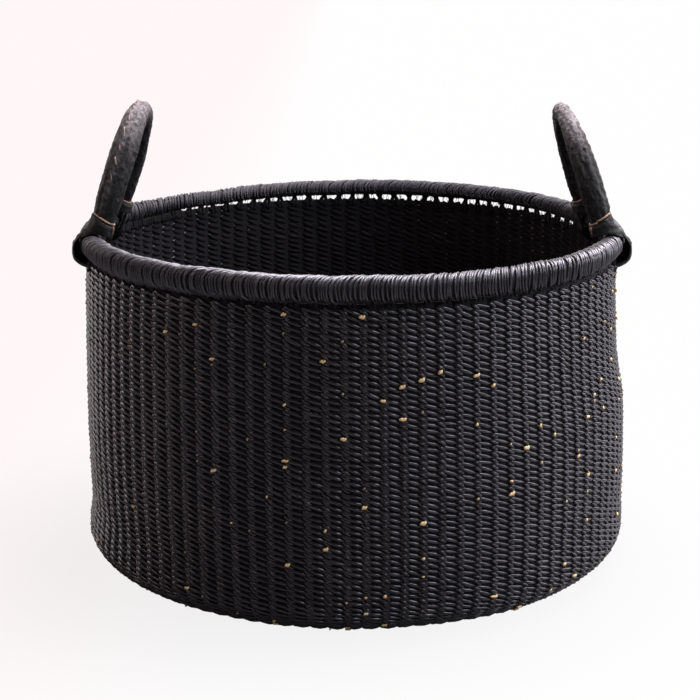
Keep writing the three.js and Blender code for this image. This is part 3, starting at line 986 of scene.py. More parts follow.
def loop_mesh(seed, steps=14, sides=4):
    chance = random.Random(seed)
    lean = chance.uniform(*RIM_STRAND_LEAN)
    swell = chance.uniform(*RIM_STRAND_SWELL)
    phase = chance.uniform(0, 2 * math.pi)
    points = []
    for turn in turns_round(steps):
        reach = (RIM_TUBE_RADIUS - RIM_STRAND_INSET) * rounded_square(turn, RIM_SQUARENESS)
        reach += swell * math.cos(turn - phase)
        along = -lean * math.cos(turn) + RIM_STRAND_SWAY * math.sin(2 * turn + phase)
        points.append(Vector((along, -reach * math.cos(turn), reach * math.sin(turn) + inner_lift(turn))))
    rings = []
    for i, point in enumerate(points):
        ahead = (points[(i + 1) % steps] - points[i - 1]).normalized()
        outward = Vector((0, point.y, point.z)).normalized()
        outward = (outward - ahead * outward.dot(ahead)).normalized()
        side = ahead.cross(outward)
        ring = []
        for turn in turns_round(sides):
            tall = outward * RIM_STRAND_HEIGHT * math.cos(turn)
            ring.append(point + tall + side * RIM_STRAND_WIDTH * math.sin(turn))
        rings.append(ring)
    return skin(rings, looped=True)


# Short upright line that the tree follows for one row at the given radius and height
HALF_LINE = 10 * MM


def ring_line(name, radius, height):
    ends = [Vector((radius, 0, height + HALF_LINE)), Vector((radius, 0, height - HALF_LINE))]
    return outline_curve(name, ends)


# Bundle inside the wrapping, seen only between its strands
RIM_BED_STEPS = 2 * STAKES
RIM_BED_HALF_WIDTH = RIM_TUBE_RADIUS - 1.6 * MM
RIM_BED_HALF_HEIGHT = 7.7 * MM


def rim_bed_mesh():
    rings = []
    for angle in turns_round(RIM_BED_STEPS):
        ring = []
        for turn in turns_round(12):
            reach = RIM_RADIUS + RIM_BED_HALF_WIDTH * math.cos(turn)
            height = RIM_HEIGHT + RIM_BED_HALF_HEIGHT * math.sin(turn) + inner_lift(turn)
            ring.append(Vector((reach * math.cos(angle), reach * math.sin(angle), height)))
        rings.append(ring)
    return skin(rings, looped=True)


# Slow dip and swell of the rim between the handles, none at the handles' feet
RIM_RISE = 2.6 * MM
RIM_RISE_AZIMUTH = math.radians(72)
RIM_DIP = 1.6 * MM
RIM_DIP_AZIMUTH = math.radians(135)
RIM_WAVE = 0.9 * MM
RIM_HANG = 7.5 * MM
RIM_SQUEEZE = 2.8 * MM


def sway_rim(mesh):
    for vertex in mesh.vertices:
        x, y, z = vertex.co
        azimuth = math.atan2(y, x)
        between_handles = clamp((abs(math.sin(azimuth)) - 0.34) / 0.3)
        rise = RIM_RISE * max(0.0, math.cos(azimuth - RIM_RISE_AZIMUTH)) ** 3
        dip = RIM_DIP * max(0.0, math.cos(azimuth - RIM_DIP_AZIMUTH)) ** 6
        wave = RIM_WAVE * ring_noise(azimuth, 6, 3.0)
        outer_part = max(0.0, math.hypot(x, y) - RIM_RADIUS) / RIM_TUBE_RADIUS
        lower_part = max(0.0, RIM_HEIGHT - z) / RIM_TUBE_RADIUS
        hang = RIM_HANG * outer_part * lower_part * clamp(0.45 - 1.4 * math.sin(azimuth))
        squeeze = RIM_SQUEEZE * min(1.0, lower_part) * back_share(azimuth)
        vertex.co.z = z + (rise - dip + wave - hang) * between_handles + squeeze
    mesh.update()


rim_mesh = rows_mesh(
    outline=ring_line("rim_line", RIM_RADIUS, RIM_HEIGHT),
    shapes=shapes_to_repeat("rim_loop", [loop_mesh(50 + i) for i in range(SET_SIZE)]),
    material=RIM_GRASS,
    columns=RIM_LOOPS,
    column_count=RIM_LOOPS,
    rows=1,
    start=HALF_LINE,
    row_pitch=0.0,
    stitch_pitch=RIM_LOOP_PITCH,
    tilt=0.16,
    lift=0.5 * MM,
    size_spread=0.045,
    seed=900,
)
sway_rim(rim_mesh)
piece("rim_wrapping", rim_mesh, RIM_GRASS, "basket", "rim_grass", "rim_wrap")
rim_bed = rim_bed_mesh()
sway_rim(rim_bed)
piece("rim_inner_strands", rim_bed, SHADED_GRASS_PAINTED_FILL, "basket", "rim_grass", "rim_wrap")

# Stakes in the open row: each is a pair of bent stems, which meet at a waist and spread above and below it
STAKE_LOW = -3 * MM
STAKE_LENGTH = 18 * MM
STAKE_WAIST = 7.3 * MM
STAKE_WAIST_REACH = 2.4 * MM
STEM_RADIUS = 1.5 * MM
STEM_THICKENING = 0.5 * MM
STEM_SPREAD = 0.9 * MM
STEM_WIDENING = 1.2 * MM
STEM_SCATTER = 0.3 * MM
STEM_BEND = (-0.2 * MM, 0.3 * MM)


def stake_mesh(seed, steps=8):
    chance = random.Random(seed)
    stems = []
    for side in (-1, 1):
        points = []
        radii = []
        for i in range(steps + 1):
            height = STAKE_LOW + STAKE_LENGTH * i / steps
            away = min(1.0, abs(height - STAKE_WAIST) / STAKE_WAIST_REACH) ** 2
            bend = chance.uniform(*STEM_BEND)
            scatter = chance.uniform(-STEM_SCATTER, STEM_SCATTER)
            spread = side * (STEM_SPREAD + STEM_WIDENING * away) + scatter
            points.append(Vector((spread, bend, height)))
            radii.append(STEM_RADIUS + STEM_THICKENING * away)
        stems.append(tube(points, radii, radii, 6))
    return joined(stems)


# Loose fibres that cross the open row
FIBRE_REACH = 5.5 * MM
FIBRE_SLANT = 5 * MM
FIBRE_SCATTER = 0.5 * MM
FIBRE_LOW = 1 * MM
FIBRE_RISE = 10 * MM
FIBRE_HALF_WIDTH = 0.24 * MM
FIBRE_HALF_DEPTH = 0.2 * MM


def fibre_mesh(seed):
    chance = random.Random(seed)
    fibres = []
    for k in range(4):
        low = chance.uniform(-FIBRE_REACH, FIBRE_REACH)
        high = low + chance.uniform(-FIBRE_SLANT, FIBRE_SLANT)
        points = []
        for i in range(4):
            along = low + (high - low) * i / 3
            depth = chance.uniform(-FIBRE_SCATTER, FIBRE_SCATTER)
            points.append(Vector((along, depth, FIBRE_LOW + FIBRE_RISE * i / 3)))
        fibres.append(tube(points, [FIBRE_HALF_WIDTH] * 4, [FIBRE_HALF_DEPTH] * 4, 4))
    return joined(fibres)


STAKE_LINE = ring_line("stake_line", RIM_RADIUS, WALL_TOP)
FIBRES = shapes_to_repeat("fibre", [fibre_mesh(75 + i) for i in range(SET_SIZE)])
STAKE_PAIRS = shapes_to_repeat("stake", [stake_mesh(70 + i) for i in range(SET_SIZE)])

# Name, shapes, shapes for each stake, first one, how many of them, place in the column and seed
STAKE_RUNS = (
    ("rim_stakes", STAKE_PAIRS, 1, 0, STAKES, 0.5, 950),
    ("packing_right", STAKE_PAIRS, 4, 370, 46, 0.5, 960),
    ("packing_left", STAKE_PAIRS, 4, 149, 68, 0.5, 970),
    ("loose_fibres", FIBRES, 1, 0, STAKES, 0.0, 980),
)
for name, shapes, per_stake, first, count, shift, seed in STAKE_RUNS:
    stakes = rows_mesh(
        outline=STAKE_LINE,
        shapes=shapes,
        material=STAKE_GRASS,
        columns=STAKES * per_stake,
        first_column=first,
        column_count=count,
        column_shift=shift,
        rows=1,
        start=HALF_LINE,
        row_pitch=0.0,
        stitch_pitch=2 * math.pi * RIM_RADIUS / STAKES / per_stake,
        tilt=0.22,
        lift=0.6 * MM,
        size_spread=0.15,
        seed=seed,
    )
    part_for_straps(stakes, STAKE_NOTCH_HALF_WIDTH)
    piece(name, stakes, STAKE_GRASS, "basket", "grass_bundle", "stake_ring")


# Short ends of undyed straw that stand out of the gaps between the ribs
FLECK_SCATTER = 0.5 * MM
FLECK_STAND_OUT = 0.6 * MM
FLECK_BOW = 3 * MM


def fleck_mesh(seed, parts, size):
    chance = random.Random(seed)
    bits = []
    for i in range(parts):
        side = -1 if i % 2 else 1
        slope = chance.uniform(0.5, 1.2)
        length = size * chance.uniform(0.55, 0.8)
        apart = 0.3 * size if parts > 1 else 0.0
        start = Vector((side * apart, 0, chance.uniform(-FLECK_SCATTER, FLECK_SCATTER)))
        points = []
        for k in range(4):
            t = -0.5 + k / 3
            depth = FLECK_BOW * t * t - FLECK_STAND_OUT
            points.append(start + Vector((t * length, depth, slope * t * length)))
        thin = size * chance.uniform(0.3, 0.38)
        widths = [thin * 0.7, thin, thin, thin * 0.6]
        bits.append(tube(points, widths, [width * 0.8 for width in widths], 5))
    return joined(bits)


# Parts and size of each fleck
DOT_SIZE = 2.3 * MM
FLECK_SIZES = ((1, 3.2 * MM), (2, 3.2 * MM), (1, 2.2 * MM), (2, 3.6 * MM))
FLECKS = [fleck_mesh(80 + i, parts, size) for i, (parts, size) in enumerate(FLECK_SIZES)]
DOTS = [fleck_mesh(85 + i, 1, DOT_SIZE) for i in range(SET_SIZE)]

# Label, shapes, material, chance of a fleck at each gap on the right and on the left, and seed
FLECK_RUNS = (
    ("golden", shapes_to_repeat("fleck", FLECKS), GOLDEN_STRAW, 0.06, 0.003, 1200),
    ("pale", shapes_to_repeat("dot", DOTS), PALE_STRAW, 0.0, 0.05, 1300),
)
for label, shapes, material, right_chance, left_chance, seed in FLECK_RUNS:
    flecks = rows_mesh(
        outline=OUTSIDE_CURVE,
        shapes=shapes,
        material=material,
        column_shift=0.0,
        rows=WALL_ROWS - 4,
        start=ROW_PITCH,
        tilt=0.3,
        lift=0.9 * MM,
        size_spread=0.25,
        left_chance=left_chance,
        right_chance=right_chance,
        seed=seed,
    )
    settle(flecks)
    piece(f"straw_flecks_{label}", flecks, material, "basket", "dyed_grass")

clear_helpers()


# Handles. Everything is made at +X, and the left handle is the same turned half round.
def handle_point(along, rise, across=0.0):
    return Vector((HINGE_X - HANDLE_INSET, along, RIM_HEIGHT)) + LEAN_UP * rise + LEAN_IN * across


# The given number of points at even distances along a line, and the line's length
def evenly(points, count):
    lengths = [0.0]
    for first, second in zip(points, points[1:]):
        lengths.append(lengths[-1] + (second - first).length)
    placed = []
    k = 0
    for i in range(count):
        target = lengths[-1] * i / (count - 1)
        while k < len(lengths) - 2 and lengths[k + 1] < target:
            k += 1
        share = (target - lengths[k]) / max(lengths[k + 1] - lengths[k], 1e-9)
        placed.append(points[k].lerp(points[k + 1], clamp(share)))
    return placed, lengths[-1]


# Middle line of a handle from one end rise over the top to the other
def arch_line(end_rise, count, steps=600):
    power = 2 / HANDLE_SQUARENESS
    start = math.asin((end_rise / HANDLE_RISE) ** (1 / power))
    fine = []
    for i in range(steps + 1):
        angle = start + (math.pi - 2 * start) * i / steps
        cosine = math.cos(angle)
        along = -HANDLE_HALF_SPAN * math.copysign(abs(cosine) ** power, cosine)
        fine.append(handle_point(along, HANDLE_RISE * math.sin(angle) ** power))
    return evenly(fine, count)


# Direction square to the arch, turned from the outward side towards its outer curve
def archside(direction, turn):
    return -LEAN_IN * math.cos(turn) + direction.cross(LEAN_IN) * math.sin(turn)


# Turn of the seam along the arch, front foot to back foot for the right handle
SEAM_TURNS = {"right": (18, 45, 18), "left": (20, 66, 78)}


def seam_turn(side, t):
    first, middle, last = SEAM_TURNS[side]
    if t < 0.5:
        return math.radians(first + (middle - first) * t * 2)
    return math.radians(middle + (last - middle) * (t * 2 - 1))


def turn_gap(first, second):
    return abs((first - second + math.pi) % (2 * math.pi) - math.pi)


# The sleeve is bound in at its ends, swells in the legs and is thinner over the top, where use has pressed
# its outward side flat and where its upward faces get a painted sheen
SLEEVE_PLAIN_RADIUS = 9.7 * MM
SLEEVE_BOUND_IN = 1.2 * MM
LEG_SWELL = {"right": 0.6 * MM, "left": 1.9 * MM}
TOP_THINNING = {"right": 1.3 * MM, "left": 0.5 * MM}
TOP_HOLLOW = {"right": 5.2 * MM, "left": 0.8 * MM}
# Strength of the painted sheen on the upward faces over the top of each handle
TOP_PAINTED_SHEEN = {"right": 1.15, "left": 0.8}


def sleeve_radius(side, t):
    from_end = min(t, 1 - t)
    bound = bell(from_end, 0, 0.045)
    legs = math.sin(math.pi * min(1.0, 2.2 * from_end)) ** 0.8 if t not in (0, 1) else 0.0
    top = bell(t, 0.5, 0.14)
    return SLEEVE_PLAIN_RADIUS + LEG_SWELL[side] * legs - TOP_THINNING[side] * top - SLEEVE_BOUND_IN * bound


def hollow(side, t):
    return TOP_HOLLOW[side] * bell(t, 0.46, 0.16)


CORE_RADIUS = 5.4 * MM
CORE_TOP_THINNING = 2.2 * MM


def core_mesh(count=120):
    points, _ = arch_line(CORE_END_RISE, count)
    radii = [CORE_RADIUS - CORE_TOP_THINNING * bell(i / (count - 1), 0.47, 0.2) for i in range(count)]
    return tube(points, radii, radii, 16, LEAN_IN)


# Relief of the sleeve's leather. The ridge is the seam, with a groove beside it, and a scale says how
# fast a relief changes along the sleeve.
SLEEVE_SQUARENESS = 2.4
LUMP_HEIGHT = 0.55 * MM
LUMP_SCALE = 34
SEAM_RIDGE = 0.8 * MM
SEAM_NOTCH = 0.4 * MM
SEAM_HALF_WIDTH = 0.15
SEAM_GROOVE = 0.55 * MM
WRINKLE_HEIGHT = 0.2 * MM
WRINKLE_SCALE = 1500
WRINKLE_BEND = 3.1
WRINKLE_BEND_SCALE = 28
FOLD_DEPTH = 1.5 * MM
FOLD_SCALE = 110
CRUMPLE_HEIGHT = 0.45 * MM
CRUMPLE_SCALE = 330
MEAN_FOLD = 0.4 * MM


def sleeve_mesh(side, seed, count=210, sides=56):
    points, length = arch_line(SLEEVE_END_RISE, count)
    rings = []
    wear = []
    for i, (point, ahead) in enumerate(zip(points, directions(points))):
        t = i / (count - 1)
        distance = t * length
        seam = seam_turn(side, t)
        notch = 0.5 + 0.5 * math.cos(2 * math.pi * distance / (LACING_PITCH / 2))
        ring = []
        for turn in turns_round(sides):
            outward = math.cos(turn)
            upward = math.sin(turn)
            radius = sleeve_radius(side, t) * rounded_square(turn, SLEEVE_SQUARENESS)
            radius -= hollow(side, t) * max(0.0, outward) ** 0.8
            radius += LUMP_HEIGHT * ring_noise(turn, 1.3, distance * LUMP_SCALE + seed)
            off = turn_gap(turn, seam)
            ridge = bell(off, 0, SEAM_HALF_WIDTH) * (SEAM_RIDGE + SEAM_NOTCH * notch)
            groove = bell(off, 0.36, 0.13) * SEAM_GROOVE
            bend_place = Vector((distance * WRINKLE_BEND_SCALE, turn * 1.2, seed))
            wave = distance * WRINKLE_SCALE + WRINKLE_BEND * noise.noise(bend_place)
            wrinkle = math.sin(wave) * WRINKLE_HEIGHT * max(0.0, -upward) ** 1.5
            fold_place = Vector((distance * FOLD_SCALE, outward * 2.4, upward * 2.4 + seed))
            crumple_place = Vector((distance * CRUMPLE_SCALE, outward * 6, upward * 6 + seed))
            fold = abs(noise.noise(fold_place)) * FOLD_DEPTH
            crumple = noise.noise(crumple_place) * CRUMPLE_HEIGHT
            radius += ridge - groove + wrinkle - fold + crumple + MEAN_FOLD
            ring.append(point + archside(ahead, turn) * radius)
            # Painted sheen on the upward faces over the top, added to the rubbed wear of the seam ridge
            top = bell(t, 0.5, 0.21, power=4) * max(0.0, upward) ** 0.5
            wear.append(min(1.0, min(1.0, ridge / (1.5 * MM)) * 0.35 + TOP_PAINTED_SHEEN[side] * top))
        rings.append(ring)
    mesh = skin(rings)
    mark = mesh.attributes.new("wear", "FLOAT", "POINT")
    for i, value in enumerate(wear):
        mark.data[i].value = value
    return mesh


# Running stitches along the seam
LACING_RADIUS = 0.72 * MM
LACING_STAND_OUT = 0.8 * MM
LACING_END_DIVE = 1.7 * MM
LACING_HALF_LENGTH = (3.6 * MM, 4.8 * MM)
LACING_SLANT = (0.02, 0.09)
LACING_SCATTER = 0.06


def lacing_mesh(side, seed, fine=400, steps=8):
    chance = random.Random(seed)
    points, length = arch_line(LACING_END_RISE, fine)
    ahead = directions(points)
    count = round(length / LACING_PITCH)
    stitches = []
    for k in range(count):
        middle = (k + 0.5 + chance.uniform(-LACING_SCATTER, LACING_SCATTER)) / count
        reach = chance.uniform(*LACING_HALF_LENGTH) / length
        slant = chance.uniform(*LACING_SLANT)
        line = []
        for m in range(steps + 1):
            u = -1 + 2 * m / steps
            t = clamp(middle + u * reach)
            i = round(t * (fine - 1))
            seam = seam_turn(side, t)
            height = sleeve_radius(side, t) + LACING_STAND_OUT - LACING_END_DIVE * abs(u) ** 3
            height -= hollow(side, t) * math.cos(seam) ** 0.8
            line.append(points[i] + archside(ahead[i], seam + slant * u * 2) * height)
        radii = [LACING_RADIUS] * len(line)
        axis = archside(ahead[round(middle * (fine - 1))], seam_turn(side, middle))
        stitches.append(tube(line, radii, radii, 6, axis))
    return joined(stitches)


# Strap: its loop is slack below and outside the rim, more so at the edge away from the other foot
STRAP_SKEW = 4.2 * MM
STRAP_CLEARANCE = 0.5 * MM


def loop_point(degrees, slack=1.0):
    angle = math.radians(degrees)
    tight = RIM_TUBE_RADIUS / math.cos(STRAP_AZIMUTH) + STRAP_SKEW * math.tan(STRAP_AZIMUTH)
    radius = tight + STRAP_CLEARANCE + STRAP_THICKNESS / 2
    radius += slack * STRAP_SLACK * max(0.0, math.cos(angle - math.radians(SLACK_DIRECTION)))
    return Vector((HINGE_X - radius * math.cos(angle), 0, RIM_HEIGHT + radius * math.sin(angle)))


# Curve through all the points, with the given number of steps between each two of them
def smooth_line(points, steps):
    ends = [points[0] * 2 - points[1]] + points + [points[-1] * 2 - points[-2]]
    line = []
    for i in range(1, len(ends) - 2):
        a, b, c, d = ends[i - 1 : i + 3]
        for k in range(steps):
            t = k / steps
            square = (2 * a - 5 * b + 4 * c - d) * t**2
            cube = (3 * b - a - 3 * c + d) * t**3
            line.append(0.5 * (2 * b + (c - a) * t + square + cube))
    line.append(ends[-2])
    return line


# Line of the strap from its outer tail round the rim to its inner tail
def strap_line(slack, count=90):
    stops = [handle_point(0, STRAP_TAIL_RISE, -TAIL_OFFSET)]
    stops += [loop_point(140 + 42 * i, slack) for i in range(6)]
    stops.append(handle_point(0, CORE_END_RISE + STRAP_THICKNESS, TAIL_OFFSET))
    stops.append(handle_point(0, STRAP_TAIL_RISE, TAIL_OFFSET))
    return evenly(smooth_line(stops, 12), count)[0]


# Share of the slack across the strap, from the edge near the other foot to the far edge: it bulges in
# the middle
def slack_share(v):
    if v > 0.1:
        return 1 - 0.5 * ((v - 0.1) / 0.9) ** 2
    return 1 - 1.6 * ((0.1 - max(v, -1.0)) / 1.1) ** 2


STRAP_WIDENING_NEAR = 0.6 * MM
STRAP_WIDENING_FAR = 4.2 * MM
STRAP_RIPPLE = 0.2 * MM


def strap_mesh(along, seed, across=16):
    outwards = math.copysign(1, along)
    places = [-1 + 2 * j / across for j in range(across + 1)]
    lines = [strap_line(slack_share(v)) for v in places]
    ahead = directions(strap_line(0.5))
    rings = []
    for i, direction in enumerate(ahead):
        out = Vector((0, 1, 0)).cross(direction).normalized()
        wide = bell(i / (len(ahead) - 1), 0.27, 0.17)
        near = STRAP_WIDTH / 2 + STRAP_WIDENING_NEAR * wide
        far = STRAP_WIDTH / 2 + STRAP_WIDENING_FAR * wide
        top = []
        bottom = []
        for line, v in zip(lines, places):
            half = out * STRAP_THICKNESS / 2 * max(0.0, 1 - abs(v) ** 6) ** 0.5 * 0.9
            ripple = STRAP_RIPPLE * noise.noise(Vector((i * 0.3, v * 2.5, seed)))
            reach = far * v if v > 0 else near * v
            middle = line[i] + Vector((0, along + outwards * reach, 0)) + out * ripple
            top.append(middle + half)
            bottom.append(middle - half)
        rings.append(top + bottom[1:-1][::-1])
    return skin(rings)


# Reach of the strap's outer tail from the middle of the leg, for each millimetre of rise
LOWEST_RISE = -12
HIGHEST_RISE = 28


def tail_reaches(slack):
    foot = handle_point(0, 0)
    offsets = [point - foot for point in strap_line(slack)[:45]]
    places = [(offset.dot(LEAN_UP), -offset.dot(LEAN_IN)) for offset in offsets]
    reaches = []
    for step in range(LOWEST_RISE, HIGHEST_RISE + 1):
        rise = step * MM
        found = TAIL_OFFSET if rise > places[0][0] else places[-1][1]
        for (high, first), (low, second) in zip(places, places[1:]):
            if low < rise <= high:
                found = first + (second - first) * (high - rise) / (high - low)
                break
        reaches.append(found)
    return reaches


SLACK_STEPS = 8
TAIL_REACHES = [tail_reaches(step / SLACK_STEPS) for step in range(SLACK_STEPS + 1)]


def tail_reach(rise, slack):
    spot = clamp(rise / MM - LOWEST_RISE, 0.0, HIGHEST_RISE - LOWEST_RISE - 0.01)
    column = clamp(slack * SLACK_STEPS, 0.0, SLACK_STEPS - 0.01)
    low = int(spot)
    found = []
    for reaches in TAIL_REACHES[int(column) : int(column) + 2]:
        found.append(reaches[low] + (reaches[low + 1] - reaches[low]) * (spot - low))
    return found[0] + (found[1] - found[0]) * (column % 1)


# Leather collar over the foot. Its outer side runs down over the strap and the rim, its inner side ends
# above the rim.
COLLAR_END_RISE = 11.2 * MM
COLLAR_THICKNESS = 1.4 * MM
COLLAR_LINING = 0.1 * MM
COLLAR_EDGE = 0.75 * MM
SKIRT_LENGTH = 16.5 * MM
STRAP_COVER = 1.2 * MM
HEM_WANDER = 0.8 * MM
COLLAR_FOLD = 0.35 * MM
COLLAR_RIDGE = 0.5 * MM
COLLAR_LUMP = 0.5 * MM
BINDING_TILT = 2.9 * MM
LEG_REACH = math.hypot(TAIL_OFFSET + STRAP_THICKNESS / 2, STRAP_WIDTH / 2)


# Ring of the collar at a level from 0 at the top to 1 at the end, at some height over the leg
def collar_ring(along, seed, level, full, rough, sides=64):
    outwards = math.copysign(1, along)
    power = 2 + 0.9 * level
    round_reach = LEG_REACH - max(0.0, 1 - level * 4) * MM
    ring = []
    for turn in turns_round(sides):
        inward = math.cos(turn)
        sideward = math.sin(turn)
        outer = max(0.0, -inward)
        shape = rounded_square(turn, power)
        top_rise = COLLAR_HIGH_RISE - BINDING_TILT * inward
        end_rise = COLLAR_END_RISE - SKIRT_LENGTH * outer**2.4
        end_rise += HEM_WANDER * ring_noise(turn, 1.5, seed)
        rise = top_rise + (end_rise - top_rise) * level
        tail = tail_reach(rise, slack_share(outwards * sideward * shape)) + STRAP_COVER
        reach = round_reach if inward > 0 else max(round_reach, tail)
        folds = COLLAR_FOLD * math.sin(turn * 7 + 1.4 * math.sin(rise * 150 + seed) + seed) * outer
        ridges = COLLAR_RIDGE * math.sin(rise * 900 + 2.2 * math.sin(turn * 2 + seed)) * outer
        lumps = COLLAR_LUMP * ring_noise(turn, 1.6, rise * 90 + seed)
        relief = (folds + ridges * level * (1 - level) * 4 + lumps) * rough
        cover = full * (1 - 0.7 * level * outer) + relief
        sideways = (round_reach + cover) * sideward * shape
        across = (reach + cover) * inward * shape
        ring.append(handle_point(along + sideways, rise, across))
    return ring


def collar_mesh(along, seed, count=26):
    levels = [i / (count - 1) for i in range(count)]
    rings = [collar_ring(along, seed, -0.04, COLLAR_EDGE, 0.6)]
    rings += [collar_ring(along, seed, level, COLLAR_THICKNESS, 1.0) for level in levels]
    rings.append(collar_ring(along, seed, 1.02, COLLAR_EDGE, 0.6))
    rings += [collar_ring(along, seed, level, COLLAR_LINING, 0.2) for level in reversed(levels)]
    return skin(rings, looped=True)


# Binding thread: two turns round the leg at the top of the collar
BINDING_RISE = COLLAR_HIGH_RISE + 1.6 * MM
BINDING_RADIUS = 9.9 * MM
BINDING_SWAY = 0.25 * MM
BINDING_PITCH = 0.6 * MM
BINDING_THREAD_RADIUS = 0.8 * THREAD_RADIUS


def leg_place(end, rise):
    share = (1 - (rise / HANDLE_RISE) ** HANDLE_SQUARENESS) ** (1 / HANDLE_SQUARENESS)
    return handle_point(end * HANDLE_HALF_SPAN * share, rise)


def thread_mesh(end, seed, steps=96):
    chance = random.Random(seed)
    centre = leg_place(end, BINDING_RISE)
    axis = (leg_place(end, BINDING_RISE + MM) - centre).normalized()
    line = []
    for i in range(steps + 1):
        turn = 4 * math.pi * i / steps + chance.uniform(-0.005, 0.005)
        radius = BINDING_RADIUS + BINDING_SWAY * math.sin(turn * 1.5 + seed)
        rise = BINDING_PITCH * (-1 + 2 * i / steps) + BINDING_TILT * math.cos(turn + seed)
        line.append(centre + archside(axis, turn + seed) * radius + axis * rise)
    radii = [BINDING_THREAD_RADIUS] * len(line)
    return tube(line, radii, radii, 8, axis)


# Short stitch that closes the collar on its inner side
SHORT_STITCH_TURN = math.radians(32)
SHORT_STITCH_RISE = 16.8 * MM
SHORT_STITCH_HALF_LENGTH = 3.6 * MM
SHORT_STITCH_STAND_OUT = 2.4 * MM
SHORT_STITCH_DIVE = 1.3 * MM


def short_stitch_mesh(along, steps=10):
    outwards = math.copysign(1, along)
    line = []
    for i in range(steps + 1):
        u = -1 + 2 * i / steps
        depth = LEG_REACH + SHORT_STITCH_STAND_OUT - SHORT_STITCH_DIVE * abs(u) ** 4
        side = outwards * depth * math.sin(SHORT_STITCH_TURN + 0.06 * u)
        rise = SHORT_STITCH_RISE + SHORT_STITCH_HALF_LENGTH * u
        line.append(handle_point(along + side, rise, depth * math.cos(SHORT_STITCH_TURN)))
    radii = [THREAD_RADIUS] * len(line)
    return tube(line, radii, radii, 8, LEAN_IN)


HALF_TURN = Matrix.Rotation(math.pi, 4, "Z")
HANDLE_SEEDS = {"right": 3.0, "left": 11.0}


def handle_piece(side, name, mesh, material, slot, node):
    if side == "left":
        mesh.transform(HALF_TURN)
    piece(name, mesh, material, f"handle_{side}", slot, node)


for side, seed in HANDLE_SEEDS.items():
    sleeve = sleeve_mesh(side, seed)
    handle_piece(side, f"sleeve_{side}", sleeve, SLEEVE_LEATHER, "black_leather", f"handle_cover_{side}")
    handle_piece(side, f"core_{side}", core_mesh(), CORE_GRASS, "grass_bundle", f"handle_core_{side}")
    lacing = lacing_mesh(side, seed)
    handle_piece(
        side, f"seam_stitches_{side}", lacing, LACING_THREAD, "natural_thread", f"handle_lacing_{side}"
    )
    for end in (-1, 1):
        along = end * HANDLE_HALF_SPAN
        own_seed = seed + end
        foot = "front" if (end < 0) == (side == "right") else "back"
        leather = (
            ("strap", strap_mesh(along, own_seed), "foot_strap"),
            ("collar", collar_mesh(along, own_seed), "foot_collar"),
        )
        thread = (
            ("binding_thread", thread_mesh(end, own_seed), "collar_thread"),
            ("short_stitch", short_stitch_mesh(along), "collar_stitch"),
        )
        label = f"{side}_{foot}"
        for name, mesh, node in leather:
            handle_piece(side, f"{name}_{label}", mesh, STRAP_LEATHER, "black_leather", f"{node}_{label}")
        for name, mesh, node in thread:
            handle_piece(side, f"{name}_{label}", mesh, BINDING_THREAD, "natural_thread", f"{node}_{label}")

# Floor: white for the camera further out; near the basket a painted shade, shifted a little to the left,
# through which its real shadow shows, and a painted warm light towards the left
FLOOR_HALF_SIZE = 12.0
WHITE = rgba(1.0, 0.995, 0.995)
PAINTED_WARM_WHITE = rgba(1.0, 0.93, 0.935)
MATT_GREY = rgba(0.22, 0.215, 0.215)
PINKISH_FROM = -0.06
PINKISH_TO = -0.42
SHADED_WITHIN = 0.17
WHITE_BEYOND = 0.46
LEAST_GLOW = 0.87
SHADE_SHIFT = (0.06, 0.0, 0.0)


def floor_material():
    material = bpy.data.materials.new("pale_floor")
    graph = empty_graph(material)
    place = graph.place()
    # Painted warm light: the white turns pinkish towards the left
    painted_warm_share = graph.ramp(graph.separate(place)[0], PINKISH_TO, PINKISH_FROM, to_low=1.0, to_high=0.0)
    matt = graph.add("ShaderNodeBsdfDiffuse", {"Color": MATT_GREY})
    glow_color = graph.mix_colors(painted_warm_share, WHITE, PAINTED_WARM_WHITE)
    glow = graph.add("ShaderNodeEmission", {"Color": glow_color, "Strength": 1.0})
    # Painted shade: the glow is weaker near the basket, and the matt floor's real shading shows through it
    distance = graph.vector_math("LENGTH", graph.vector_math("ADD", place, SHADE_SHIFT))
    share = graph.ramp(distance, SHADED_WITHIN, WHITE_BEYOND, to_low=LEAST_GLOW)
    seen = graph.add("ShaderNodeLightPath").outputs["Is Camera Ray"]
    mixed = graph.mix_shaders(graph.times(seen, share), matt, glow)
    graph.add("ShaderNodeOutputMaterial", {"Surface": mixed})
    return material


def floor():
    mesh = bpy.data.meshes.new("floor")
    corners = [(x * FLOOR_HALF_SIZE, y * FLOOR_HALF_SIZE, 0) for x, y in ((-1, -1), (1, -1), (1, 1), (-1, 1))]
    mesh.from_pydata(corners, [], [(0, 1, 2, 3)])
    mesh.materials.append(floor_material())
    placed("floor", mesh)


# Soft rectangular lamp that points at its target
def area_lamp(name, place, target, width, height, radiance, color):
    lamp = bpy.data.lights.new(name, "AREA")
    lamp.shape = "RECTANGLE"
    lamp.size = width
    lamp.size_y = height
    lamp.energy = radiance * width * height * math.pi
    lamp.color = color
    made = placed(name, lamp)
    made.location = place
    made.rotation_euler = (Vector(target) - Vector(place)).to_track_quat("-Z", "Y").to_euler()


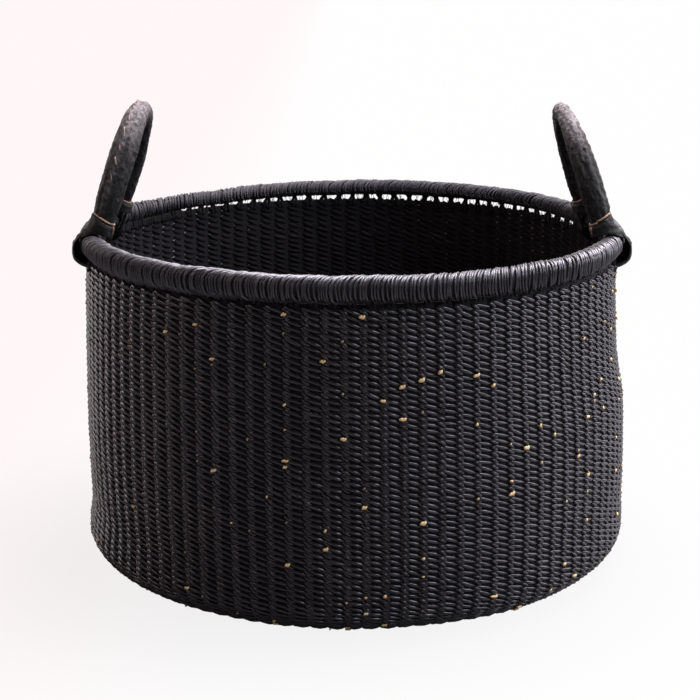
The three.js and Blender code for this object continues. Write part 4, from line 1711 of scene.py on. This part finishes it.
# White behind the basket and for the camera, dim elsewhere
def studio_world():
    world = bpy.data.worlds.new("studio")
    bpy.context.scene.world = world
    graph = empty_graph(world)
    direction = graph.add("ShaderNodeTexCoord").outputs["Generated"]
    behind = graph.ramp(graph.separate(direction)[1], -0.1, 0.65)
    path = graph.add("ShaderNodeLightPath").outputs
    shiny = graph.math("MAXIMUM", graph.times(path["Is Glossy Ray"], behind), path["Is Transmission Ray"])
    white = graph.math("MAXIMUM", path["Is Camera Ray"], shiny)
    dim = graph.add("ShaderNodeBackground", {"Color": rgba(0.97, 0.96, 1.0), "Strength": 0.12})
    bright = graph.add("ShaderNodeBackground", {"Color": rgba(1.0, 0.985, 0.988), "Strength": 1.0})
    graph.add("ShaderNodeOutputWorld", {"Surface": graph.mix_shaders(white, dim, bright)})


# Name, place, target, width, height, radiance and colour
LAMPS = (
    ("top_lamp", (0.6, 0.8, 2.2), (0.5, 0.8, 0.0), 2.2, 1.6, 15.0, (1.0, 0.95, 1.0)),
    ("key_lamp", (1.85, -0.9, 1.5), (0, 0, 0.15), 1.9, 0.6, 8.5, (0.9, 0.94, 1.0)),
    ("left_key_lamp", (-1.6, -1.1, 1.4), (0, 0, 0.15), 1.2, 0.36, 3.4, (1.0, 0.76, 0.7)),
    ("right_lamp", (1.9, 0.3, 0.8), (0, 0, 0.2), 1.5, 1.4, 3.3, (0.94, 0.94, 1.0)),
    ("left_lamp", (-1.9, 0.7, 0.8), (0, 0, 0.2), 1.0, 1.0, 2.0, (1.0, 0.74, 0.68)),
)

floor()
studio_world()
for lamp in LAMPS:
    area_lamp(*lamp)

# Camera, fitted to the rim and the foot in the photo
PHOTO_WIDTH_PX = 700
FOCAL_LENGTH_PX = 1679
SHIFT_PX = -2
SENSOR_WIDTH = 36
CAMERA_PLACE = (0, -1.506, 0.576)
CAMERA_DOWN = 14.56

camera = placed("camera", bpy.data.cameras.new("camera"))
camera.location = CAMERA_PLACE
camera.rotation_euler = (math.radians(90 - CAMERA_DOWN), 0, 0)
camera.data.sensor_width = SENSOR_WIDTH
camera.data.lens = SENSOR_WIDTH * FOCAL_LENGTH_PX / PHOTO_WIDTH_PX
camera.data.shift_x = SHIFT_PX / PHOTO_WIDTH_PX
camera.data.clip_start = 10 * MM
bpy.context.scene.camera = camera
bpy.context.scene.view_settings.view_transform = "Standard"
